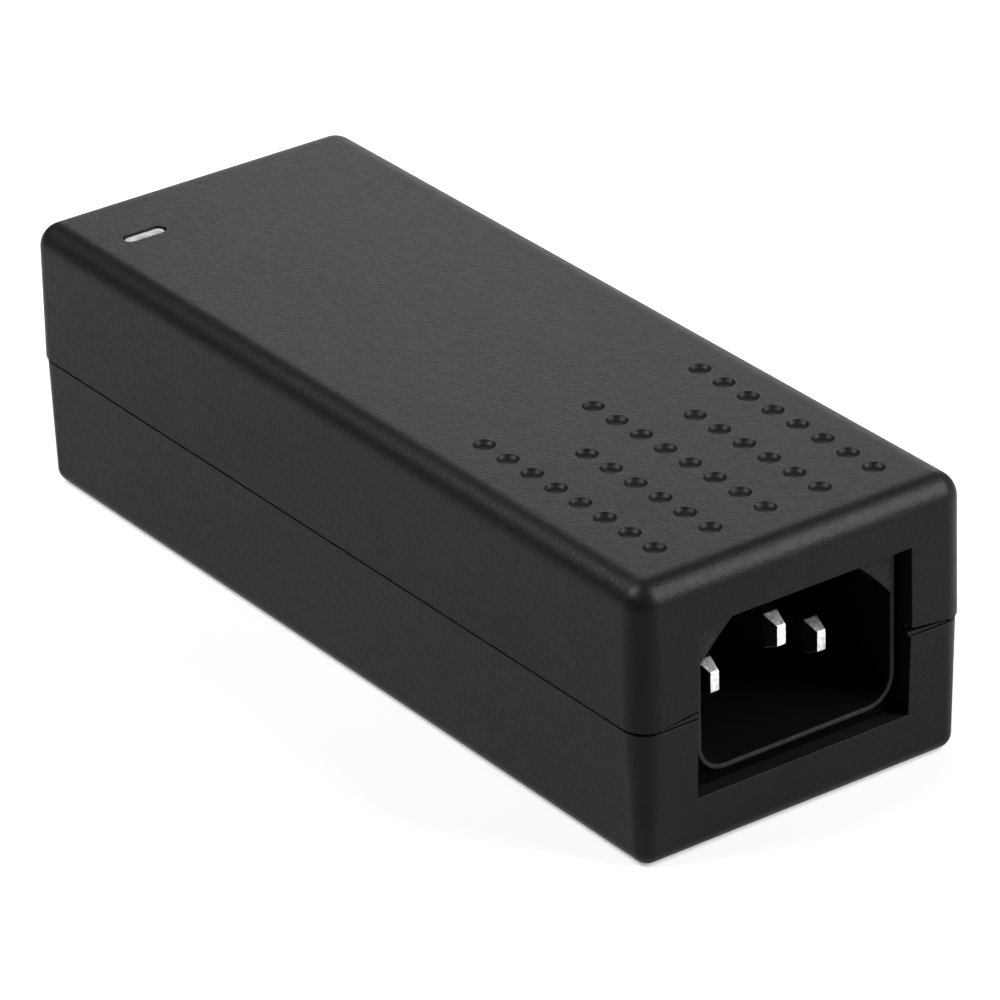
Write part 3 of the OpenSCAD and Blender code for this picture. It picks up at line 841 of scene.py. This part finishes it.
def jack_shield(node):
    """The folded sheet, open below, with a spring leaf bulging into each side
    of the plug opening and a short slit in each side wall just below the roof
    at the front."""
    low, high = box_of(node)
    middle = (low + high)[1] / 2
    floor_level = high[2] - sheet - roof_thick - plug_height
    shield = new_piece(node.replace("shield", "screen"), [boxed(low, high, 0.45, 0.12)])
    carve(shield, [boxed(low + (sheet, sheet, -1), high - sheet, 0.2, 0.01)])
    carve(shield, [prism(plug_outline(middle, floor_level, 0.15), low[0] - 1, low[0] + 1, "x")])
    carve(shield, [prism(rectangle(start, start + 1.6, high[2] - 0.75, high[2] - 0.6),
                         low[0] - 1, low[0] + 3.2, "x") for start in (low[1] - 1, high[1] - 0.6)])
    leaf_outline = rounded_outline(1, 1, 0.2, 2)
    leaves = []
    for side in (-1, 1):
        edge = plug_half - 0.02
        leaf_path = bent_path([(low[0] + 0.1, edge + 0.25), (low[0] + 0.5, edge - 0.1),
                               (low[0] + 3.4, edge - 0.65), (low[0] + 6.4, edge - 0.1)], 0.5)
        points, faces = strip(leaf_path, 1.1, 0.1, leaf_outline, floor_level + 3.6)
        turned_leaf = np.column_stack([points[:, 0], middle + side * points[:, 2], points[:, 1]])
        leaves.append((turned_leaf, faces))
    return shield, new_piece(node.replace("shield", "springs"), leaves)


def jack_contacts(node):
    """Eight wires, each up the jack's back, along its roof, round a hairpin at
    the front and down on a slope to meet the plug."""
    low, high = box_of(node)
    middle = (low + high)[1] / 2
    run_level = high[2] - contact_radius
    corners = [(high[0] - contact_radius, low[2]), (high[0] - contact_radius, run_level),
               (low[0] + 0.2, run_level), (low[0] + 0.75, run_level - 0.6),
               (low[0] + comb_start, run_level - roof_thick)]
    path = bent_path(corners, 0.22)
    outline = np.column_stack([np.cos(np.arange(10) * math.pi / 5),
                               np.sin(np.arange(10) * math.pi / 5)])
    wires = [strip(path, contact_radius, contact_radius, outline, middle + place)
             for place in contact_places]
    return new_piece(node.replace("contacts", "wires"), wires)


def mottled(name, roughness, shades, sheen, depth, *clouds, metallic=0.0, extra=()):
    """A finish made from one to three noises, each (size, detail, share): one
    mixes the shades, one the two roughnesses, and one raises the surface by
    the depth. The last one given does all the work that is left over."""
    material, shader, place = new_material(name, roughness, metallic)
    waves = [noise(place, *cloud) for cloud in clouds]
    tone, dull = waves[0], waves[min(1, len(waves) - 1)]
    surface(shader, mixed(spread(tone, 0, 1), *shades), spread(dull, *sheen), waves[-1], depth)
    for key, value in extra:
        shader.inputs[key].default_value = value
    return material


# Black glass-filled plastic, with the streaks that the glass leaves
jack_thermoplastic = mottled(
    "jack_thermoplastic", 0.5, ((0.010, 0.010, 0.010), (0.022, 0.022, 0.023)), (0.38, 0.6), 0.01,
    (0.5, 4, 0.2), extra=[("Specular IOR Level", 0.35)])


def tinned_sheet():
    """Rolled tin-plated steel: lines of rolling along the jack, broad clouds
    in the tin and scattered dull scuffs."""
    material, shader, place = new_material("tinned_sheet", 0.3, 1.0)
    lines = noise(place, 0.14, 2, 0.06)
    clouds = spread(noise(place, 2.4, 3), 0, 1)
    tone = mixed(clouds, (0.62, 0.62, 0.61), (0.76, 0.76, 0.75))
    dull = arithmetic("ADD", spread(lines, 0.16, 0.28),
                      spread(noise(place, 0.9, 5), 0.0, 0.2, 0.5, 0.75))
    surface(shader, tone, dull, lines, 0.006)
    return material


tinned = tinned_sheet()
# Gold flash over nickel, a little redder and duller in patches
gilt = mottled("gilt", 0.25, ((0.90, 0.60, 0.24), (1.0, 0.76, 0.38)), (0.2, 0.34), 0.003,
               (0.7, 3), (0.7, 3), (0.12, 2), metallic=1.0)
for jack in ("lan", "poe"):
    finish_piece(jack_housing(f"{jack}_jack_housing"), jack_thermoplastic, "jack_plastic",
                 f"{jack}_jack_housing")
    screen, springs = jack_shield(f"{jack}_jack_shield")
    finish_piece(screen, tinned, "shield_metal", f"{jack}_jack_shield")
    finish_piece(springs, tinned, "shield_metal")
    finish_piece(jack_contacts(f"{jack}_jack_contacts"), gilt, "gold_contact",
                 f"{jack}_jack_contacts")

# ==== Indicator lens =========================================================
# A milky light guide pushed up into the slot from inside: a slightly crowned
# window that stands a little below the top, over a wider collar.

lens_clearance = 0.1
lens_top = case_height - 0.2
collar_top = case_height - wall
collar_low = window_low[2]
edge_round = 0.18
levels = np.concatenate([[collar_low, collar_top, collar_top],
                         lens_top - edge_round * (1 - np.sin(turn)),
                         lens_top + 0.08 * np.array([0.45, 0.8, 1])])
growth = np.concatenate([[0.8, 0.8, -lens_clearance],
                         -lens_clearance - edge_round * (1 - np.cos(turn)),
                         [-0.4, -0.6, -0.85]])
rings = [at_z(stadium(window_at, window_length, window_width, grow), level)
         for grow, level in zip(growth, levels)]
lens = new_piece("indicator_window", [skin(np.array(rings))])


# Diffusing acrylic: light spreads just under the surface, and fine dust and
# rub marks dull it in places
milky_acrylic = mottled(
    "milky_acrylic", 0.3, ((0.09, 0.09, 0.088), (0.20, 0.20, 0.196)), (0.25, 0.45), 0.02,
    (1.3, 4), (1.3, 4), (0.35, 3),
    extra=[("Subsurface Weight", 0.3), ("Subsurface Radius", (0.5, 0.5, 0.5)),
           ("Subsurface Scale", 0.6 * mm)])
finish_piece(lens, milky_acrylic, "lens", "indicator_lens")

# ==== Power lamp =============================================================
# A three-millimetre lamp under the lens: a domed body in tinted epoxy with a
# collar, and two tinned legs that run back over the jack and down to the board.

lamp_radius, lamp_straight, collar_radius = 1.5, 3.6, 1.9
lamp_low, lamp_high = box_of("power_led")
lamp_base = lamp_high[2] - lamp_straight - lamp_radius
dome_turn = quarter_turn(9)
lamp_profile = [(collar_radius - 0.1, lamp_base), (collar_radius, lamp_base + 0.1),
                (collar_radius, lamp_base + 0.8), (collar_radius - 0.1, lamp_base + 0.9),
                (lamp_radius, lamp_base + 0.9),
                *zip(np.maximum(lamp_radius * np.cos(dome_turn), 0.02),
                     lamp_base + lamp_straight + lamp_radius * np.sin(dome_turn))]
lamp = new_piece("lamp_body", turned(lamp_profile, [window_at], 36))
leg_back = lamp_high[0] - 0.25
leg_level = lamp_base - 0.55
leg_path = bent_path([(window_at[0], lamp_base + 0.2), (window_at[0], leg_level),
                      (leg_back, leg_level), (leg_back, lamp_low[2])], 0.35)
square = rounded_outline(1, 1, 0.25, 2)
lamp_legs = new_piece("lamp_legs", [strip(leg_path, 0.25, 0.25, square, window_at[1] + side * 1.1)
                                    for side in (-1, 1)])


# Clear epoxy with a faint green tint and tiny bubbles near the surface
tinted_epoxy = mottled(
    "tinted_epoxy", 0.08, ((0.35, 0.72, 0.36), (0.52, 0.85, 0.50)), (0.05, 0.18), 0.004,
    (0.9, 3), (0.2, 4), (0.15, 2), extra=[("Transmission Weight", 0.6), ("IOR", 1.52)])
finish_piece(lamp, tinted_epoxy, "led", "power_led")
finish_piece(lamp_legs, tinned, "led")

# ==== Housing screws =========================================================
# Four pan-head self-tapping screws, zinc plated, driven up through wells in the
# underside into the top shell's posts. The thread's crest winds round the shank.

head_radius, shank_radius = 2.15, 1.25
head_low, head_thick = 2.3, 1.7
thread_pitch, thread_depth = 1.1, 0.28
shank_top = 19.0


def screw(place):
    """A screw as one skin of rings, from its head up to its point.

    The shank's radius is the core's plus the depth times a narrow crest,
    a sine raised to the third power of height over pitch less the angle."""
    points = 30
    angles = np.arange(points) * 2 * math.pi / points
    head = np.array([(0.05, 0), (1.2, 0.05), (1.8, 0.3), (2.08, 0.7), (head_radius, 1.15),
                     (head_radius, head_thick - 0.08), (head_radius - 0.08, head_thick)])
    heights = np.linspace(head_thick, shank_top - head_low, 90)
    crest = np.clip(np.sin(2 * math.pi * heights[:, None] / thread_pitch - angles), 0, 1) ** 3
    fade = np.clip((heights - head_thick) / 1.2, 0, 1) * np.clip((heights[-1] - heights) / 2, 0, 1)
    point = 0.35 + 0.65 * np.clip((heights[-1] - heights) / 2.2, 0, 1)
    shank = (shank_radius - thread_depth) * point[:, None] + thread_depth * crest * fade[:, None]
    radii = np.concatenate([np.repeat(head[:, :1], points, 1), shank])
    levels = np.concatenate([head[:, 1], heights])[:, None] + np.zeros(points)
    rings = np.stack([radii * np.cos(angles), radii * np.sin(angles), levels + head_low], -1)
    return skin(rings + np.array([*place, 0]))


screws = new_piece("tapping_screws", [screw(place) for place in screw_places])
recess = []
for x, y in screw_places:
    for half_x, half_y in ((1.25, 0.28), (0.28, 1.25)):
        mouth = rectangle(x - half_x, x + half_x, y - half_y, y + half_y)
        deep = (mouth - (x, y)) * 0.5 + (x, y)
        recess.append(skin(np.array([at_z(mouth, head_low - 0.5), at_z(mouth, head_low + 0.15),
                                     at_z(deep, head_low + 1.1)])))
carve(screws, recess[::2])
carve(screws, recess[1::2])


# Bright zinc with a faint blue passivation, and wear on the drive
zinc_plate = mottled("zinc_plate", 0.3, ((0.44, 0.46, 0.50), (0.62, 0.63, 0.64)), (0.24, 0.42),
                     0.008, (0.8, 4), (0.8, 4), (0.2, 3), metallic=1.0)
finish_piece(screws, zinc_plate, "screw_steel", "housing_screws")

# ==== Blank label ============================================================
# A blank sheet of silvered polyester in the shallow bed on the underside, with
# round corners and a soft satin face.

label_half = (label_high - label_low)[:2] / 2
label_at = (label_low + label_high)[:2] / 2
label_rings = [at_z(rounded_outline(*(label_half - inset), 1.3) + label_at, level)
               for inset, level in ((0.04, label_low[2]), (0, label_low[2] + 0.03),
                                    (0, label_high[2]))]
label = new_piece("blank_label", [skin(np.array(label_rings))])


# Satin metallic film: a fine matt grain, and slow waves where the film follows
# the glue beneath it
silvered_polyester = mottled(
    "silvered_polyester", 0.42, ((0.52, 0.53, 0.54), (0.60, 0.61, 0.62)), (0.36, 0.5), 0.04,
    (0.12, 3), (5, 3), (6, 2), metallic=0.7)
finish_piece(label, silvered_polyester, "label", "rating_label")

# ==== Circuit board ==========================================================
# Glass-fibre board under a green solder mask, cut out round the screw posts. The
# copper tracks show through the mask as paler lines, and the edges are bare.

board_top = board_high[2]


def coat(material, *nodes):
    """Gives the CAD's own solids their finish."""
    for node in nodes:
        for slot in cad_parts[node].material_slots:
            slot.material = material


def distance_from(value, middle):
    """How far a coordinate is from a middle, given in millimetres."""
    return arithmetic("ABSOLUTE", arithmetic("SUBTRACT", value, middle * mm))


def solder_mask():
    """Green mask over tracks: the edges of square cells, about three
    millimetres apart, are the tracks. Off the two faces it is bare fibre."""
    material, shader, place = new_material("solder_mask", 0.3)
    cells = new_node(place, "TexVoronoi")
    cells.feature = "DISTANCE_TO_EDGE"
    cells.inputs["Scale"].default_value = 1 / (3 * mm)
    cells.inputs["Randomness"].default_value = 0.55
    join(place, cells.inputs["Vector"])
    track = spread(cells.outputs["Distance"], 1, 0, 0.08, 0.11)
    mask = mixed(track, (0.008, 0.062, 0.024), (0.020, 0.125, 0.050))
    weave = spread(noise(place, 0.25, 3), 0, 1)
    fibre = mixed(weave, (0.36, 0.38, 0.20), (0.52, 0.53, 0.32))
    off_face = distance_from(coordinates(place)[2], (board_low[2] + board_top) / 2)
    edge = spread(off_face, 1, 0, 0.76 * mm, 0.79 * mm)
    surface(shader, mixed(edge, mask, fibre), spread(weave, 0.24, 0.42, 0, 1), track, 0.03)
    return material


coat(solder_mask(), "circuit_board")

# ==== Insulation sheet =======================================================
# A thin cream sheet of pressed aramid paper between the board's solder side and
# the bottom of the case, with round holes over the board's rests.
# Cream paper with long pressed fibres and a dull calendered face
coat(mottled("aramid_paper", 0.7, ((0.66, 0.62, 0.50), (0.80, 0.77, 0.66)), (0.55, 0.8), 0.02,
             (0.4, 5, 0.25)), "insulation_sheet")

# ==== Fuse ===================================================================
# A round subminiature fuse beside the inlet's tails: a matt black cap pressed
# over its base, on two tinned legs.

fuse_stand = 0.4
solder_tin = ((0.58, 0.58, 0.57), (0.74, 0.74, 0.73))


def leaded_part(name, axis, middle, reach, shades, grain, roughness, relief=0.02):
    """A moulded or dipped body with tinned legs.

    The surface is tin further than reach millimetres from the body's middle
    along the axis. Within it noise of the grain's size mixes two shades and
    shifts the roughness about its value, and raises the surface."""
    material, shader, place = new_material(name, roughness)
    texture = noise(place, grain, 4)
    slow = noise(place, 6 * grain, 3)
    body = mixed(spread(slow, 0, 1), *shades)
    tin = mixed(spread(texture, 0, 1), *solder_tin)
    away = distance_from(coordinates(place)["XYZ".index(axis)], middle)
    bare = spread(away, 0, 1, (reach + 0.005) * mm, (reach + 0.02) * mm)
    join(bare, shader.inputs["Metallic"])
    sheen = new_node(place, "Mix")
    join(bare, sheen.inputs["Factor"])
    join(spread(texture, roughness - 0.08, roughness + 0.1), sheen.inputs["A"])
    sheen.inputs["B"].default_value = 0.28
    surface(shader, mixed(bare, body, tin), sheen.outputs["Result"], texture, relief)
    return material


def on_legs(name, node, stand, shades, grain, roughness, relief=0.02):
    """The finish of a body that stands this far over the board, on legs."""
    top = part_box(node)[1][2] / mm
    foot = board_top + stand
    return leaded_part(name, "Z", (foot + top) / 2, (top - foot) / 2, shades, grain, roughness,
                       relief)


coat(on_legs("fuse_cap", "fuse", fuse_stand, ((0.012, 0.012, 0.013), (0.024, 0.024, 0.026)),
             0.2, 0.45), "fuse")

# ==== Inrush thermistor ======================================================
# A disc of oxide ceramic dipped in dark green lacquer, upright on two legs. The
# lacquer has run a little thicker in places.

thermistor_stand = 1.5
coat(on_legs("green_lacquer", "inrush_thermistor", thermistor_stand,
             ((0.008, 0.050, 0.026), (0.018, 0.085, 0.045)), 0.6, 0.35, 0.08), "inrush_thermistor")

# ==== X capacitor ============================================================
# The mains filter capacitor: a yellow box moulded in smooth plastic, potted from
# below, with a faint satin texture and shade differences from the moulding.

coat(on_legs("yellow_box", "x_capacitor", 0, ((0.62, 0.42, 0.035), (0.76, 0.55, 0.07)),
             0.35, 0.38), "x_capacitor")

# ==== Common-mode choke ======================================================
# A ferrite ring in grey-green coating with two coils of enamelled copper wound
# round opposite sides, close enough for their turns to touch.

choke_low, choke_high = box_of("choke_core")
choke_at = (choke_low + choke_high)[:2] / 2
wire_turns = 44


def ferrite(name, low, high):
    """Sintered ferrite: fine dark grains, scattered pits and ground faces
    whose sheen changes slowly."""
    material, shader, place = new_material(name, 0.5)
    grains = noise(place, 0.15, 4)
    tone = mixed(spread(grains, 0, 1), low, high)
    pits = spread(noise(place, 0.5, 5), 1, 0, 0.62, 0.70)
    surface(shader, tone, spread(noise(place, 1.6, 3), 0.38, 0.62), pits, 0.05)
    return material


def enamelled_copper_painted_shade():
    """Copper under clear enamel: ridges follow the turns round the ring, as a
    rectified sine of the angle, and the grooves between them are painted
    dark as shade. Below the coils the wire ends are tinned."""
    material, shader, place = new_material("enamelled_copper_painted_shade", 0.28, 1.0)
    x, y, z = coordinates(place)
    angle = arithmetic("ARCTAN2", arithmetic("SUBTRACT", y, float(choke_at[1] * mm)),
                   arithmetic("SUBTRACT", x, float(choke_at[0] * mm)))
    ridge = arithmetic("ABSOLUTE", arithmetic("SINE",
                                            arithmetic("MULTIPLY", angle, wire_turns / 2)))
    # Painted shade: the grooves between the turns are coloured dark.
    wire = mixed(spread(ridge, 0, 1, 0.1, 0.7),
                         (0.16, 0.045, 0.012), (0.78, 0.34, 0.13))
    wear = spread(noise(place, 0.8, 3), 0, 1)
    tin = mixed(wear, *solder_tin)
    coil_low = board_top + 0.8
    bare = spread(z, 1, 0, (coil_low - 0.02) * mm, (coil_low - 0.005) * mm)
    surface(shader, mixed(bare, wire, tin), spread(wear, 0.22, 0.36, 0, 1), ridge, 0.15)
    return material


coat(ferrite("coated_ring", (0.045, 0.055, 0.048), (0.075, 0.088, 0.078)), "choke_core")
coat(enamelled_copper_painted_shade(), "choke_windings")

# ==== Bridge rectifier =======================================================
# A flat black package standing on four legs in a row, moulded in glass-filled
# epoxy with the fine spark grain of its tool.

bridge_stand = 3.0
package_black = ((0.011, 0.011, 0.012), (0.020, 0.020, 0.021))
coat(on_legs("bridge_epoxy", "bridge_rectifier", bridge_stand, package_black, 0.22, 0.5),
     "bridge_rectifier")

# ==== Electrolytic capacitors ================================================
# Aluminium cans in shrunk dark sleeves: the large one holds the rectified mains,
# the two small ones smooth the output. A paler stripe marks one side, and the
# sleeve leaves the middle of the top bare.


def shrunk_sleeve(name, node, middle_y, width):
    """The sleeve, its stripe and the bare top, by the distance from the can's
    axis. Where cans stand on both sides of the case's middle, middle_y is
    their distance from it."""
    low, high = box_of(node)
    material, shader, place = new_material(name, 0.3)
    x, y, z = coordinates(place)
    off_x = arithmetic("SUBTRACT", x, float((low + high)[0] / 2 * mm))
    side_y = y if low[1] * high[1] > 0 else arithmetic("ABSOLUTE", y)
    off_y = arithmetic("SUBTRACT", side_y, middle_y * mm)
    radius = arithmetic("SQRT", arithmetic("ADD", arithmetic("POWER", off_x, 2.0),
                                         arithmetic("POWER", off_y, 2.0)))
    inside = spread(radius, 1, 0, width * 0.42 * mm, width * 0.43 * mm)
    stripe = spread(off_x, 0, 1, width * 0.40 * mm, width * 0.41 * mm)
    haze = spread(noise(place, 1.2, 4), 0, 1)
    sleeve = mixed(stripe, mixed(haze, (0.010, 0.011, 0.024),
                                               (0.018, 0.020, 0.040)),
                   mixed(haze, (0.30, 0.31, 0.34), (0.40, 0.41, 0.44)))
    can = mixed(haze, (0.66, 0.66, 0.67), (0.78, 0.78, 0.79))
    join(inside, shader.inputs["Metallic"])
    surface(shader, mixed(inside, sleeve, can), spread(noise(place, 0.3, 3), 0.22, 0.4),
            noise(place, 2.5, 2), 0.06)
    return material


bulk_low, bulk_high = box_of("bulk_capacitor")
coat(shrunk_sleeve("bulk_sleeve", "bulk_capacitor", float((bulk_low + bulk_high)[1] / 2),
                   float((bulk_high - bulk_low)[1])), "bulk_capacitor")
output_low, output_high = box_of("output_capacitors")
output_width = float((output_high - output_low)[0])
coat(shrunk_sleeve("output_sleeve", "output_capacitors", float(output_high[1] - output_width / 2),
                   output_width), "output_capacitors")

# ==== Power semiconductors ===================================================
# The switching transistor and the output diode, each a black epoxy package on
# three legs that stands flat against its heatsink.

package_stand = 5.0
for node in ("switching_transistor", "output_diode"):
    coat(on_legs(f"{node}_epoxy", node, package_stand, package_black, 0.22, 0.48), node)

# ==== Heatsinks ==============================================================
# Upright plates of rolled aluminium behind the transistor and the diode, with
# the mill's fine lines along them and a few handling scuffs.


def rolled_aluminium():
    """Mill-finish aluminium: lines stretched along the plate shift its tone and
    sheen, and sparse noise dulls it where it was rubbed."""
    material, shader, place = new_material("rolled_aluminium", 0.35, 1.0)
    lines = noise(place, 0.2, 3, 0.04)
    tone = mixed(spread(lines, 0, 1), (0.60, 0.61, 0.62), (0.74, 0.75, 0.76))
    scuffs = spread(noise(place, 1.8, 5), 0, 0.2, 0.52, 0.72)
    surface(shader, tone, arithmetic("ADD", spread(lines, 0.26, 0.4), scuffs), lines, 0.008)
    return material


coat(rolled_aluminium(), "primary_heatsink", "secondary_heatsink")

# ==== Small chips ============================================================
# The supply's controller with two rows of gull-wing leads, and the optocoupler
# that carries the output's level back across the isolation gap.

controller_low, controller_high = box_of("controller_chip")
controller_reach = 2.0
opto_stand = 0.5
coat(leaded_part("controller_epoxy", "Y", float((controller_low + controller_high)[1] / 2),
                 controller_reach, package_black, 0.12, 0.5, 0.01), "controller_chip")
coat(on_legs("coupler_epoxy", "optocoupler", opto_stand, package_black, 0.15, 0.5, 0.01),
     "optocoupler")

# ==== Transformer ============================================================
# Two E-shaped ferrite halves closed round a phenolic bobbin, whose windings are
# covered by turns of yellow polyester tape.

tape_lap = 1.6
# Dark phenolic with wood-flour flecks and a little moulding gloss
coat(mottled("brown_phenolic", 0.35, ((0.020, 0.013, 0.010), (0.040, 0.028, 0.022)),
             (0.28, 0.45), 0.012, (0.35, 5)), "transformer_bobbin")


def yellow_tape():
    """Glossy tape over the wires: each turn's edge is a fine step at a steady
    spacing up the bobbin, and the wires below make soft ripples."""
    material, shader, place = new_material("yellow_tape", 0.25)
    height = coordinates(place)[2]
    lap = arithmetic("FRACT", arithmetic("DIVIDE", height, tape_lap * mm))
    edge = spread(lap, 1, 0, 0.03, 0.08)
    ripple = noise(place, 0.9, 3)
    tape = mixed(spread(ripple, 0, 1), (0.70, 0.46, 0.03), (0.82, 0.58, 0.07))
    surface(shader, mixed(edge, tape, (0.55, 0.5, 0.4), "MULTIPLY"), spread(ripple, 0.18, 0.34),
            arithmetic("SUBTRACT", ripple, edge), 0.05)
    return material


coat(ferrite("transformer_ferrite", (0.030, 0.030, 0.032), (0.055, 0.055, 0.058)),
     "transformer_core")
coat(yellow_tape(), "transformer_winding")

# ==== Y capacitor ============================================================
# A ceramic disc in blue lacquer that bridges the isolation gap, upright on two
# legs. The dipped lacquer is smooth and a little thicker low down.

disc_stand = 1.5
coat(on_legs("blue_lacquer", "y_capacitor", disc_stand, ((0.012, 0.075, 0.26), (0.028, 0.12, 0.36)),
             0.6, 0.3, 0.08), "y_capacitor")

# ==== Output inductor ========================================================
# A wound ferrite drum: two flanges with the coil between them under a ribbed
# black sleeve that has shrunk over the wires.

drum_low, drum_high = (float(corner[2] / mm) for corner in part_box("output_inductor"))
flange_thick = 1.2
wire_step = 0.5


def wound_drum():
    """Grey ferrite on the flanges and black sleeve between them, its ribs a
    sine of the height at the wires' spacing."""
    material, shader, place = new_material("wound_drum", 0.4)
    height = coordinates(place)[2]
    between = (drum_high - drum_low) / 2 - flange_thick
    away = distance_from(height, (drum_low + drum_high) / 2)
    coil = spread(away, 1, 0, (between - 0.01) * mm, (between + 0.01) * mm)
    ribs = arithmetic("SINE", arithmetic("MULTIPLY", height, 2 * math.pi / (wire_step * mm)))
    grains = spread(noise(place, 0.2, 4), 0, 1)
    stone = mixed(grains, (0.035, 0.037, 0.036), (0.065, 0.068, 0.066))
    sleeve = mixed(grains, (0.010, 0.010, 0.011), (0.018, 0.018, 0.019))
    surface(shader, mixed(coil, stone, sleeve), spread(grains, 0.32, 0.5, 0, 1),
            arithmetic("MULTIPLY", ribs, coil), 0.04)
    return material


coat(wound_drum(), "output_inductor")

# ==== Data transformer =======================================================
# A long black module with gull-wing leads down both sides, between the jacks and
# the supply, moulded like the other packages but a little glossier.

module_low, module_high = box_of("data_transformer")
module_reach = 2.3
coat(leaded_part("module_epoxy", "X", float((module_low + module_high)[0] / 2), module_reach,
                 package_black, 0.18, 0.4, 0.015), "data_transformer")
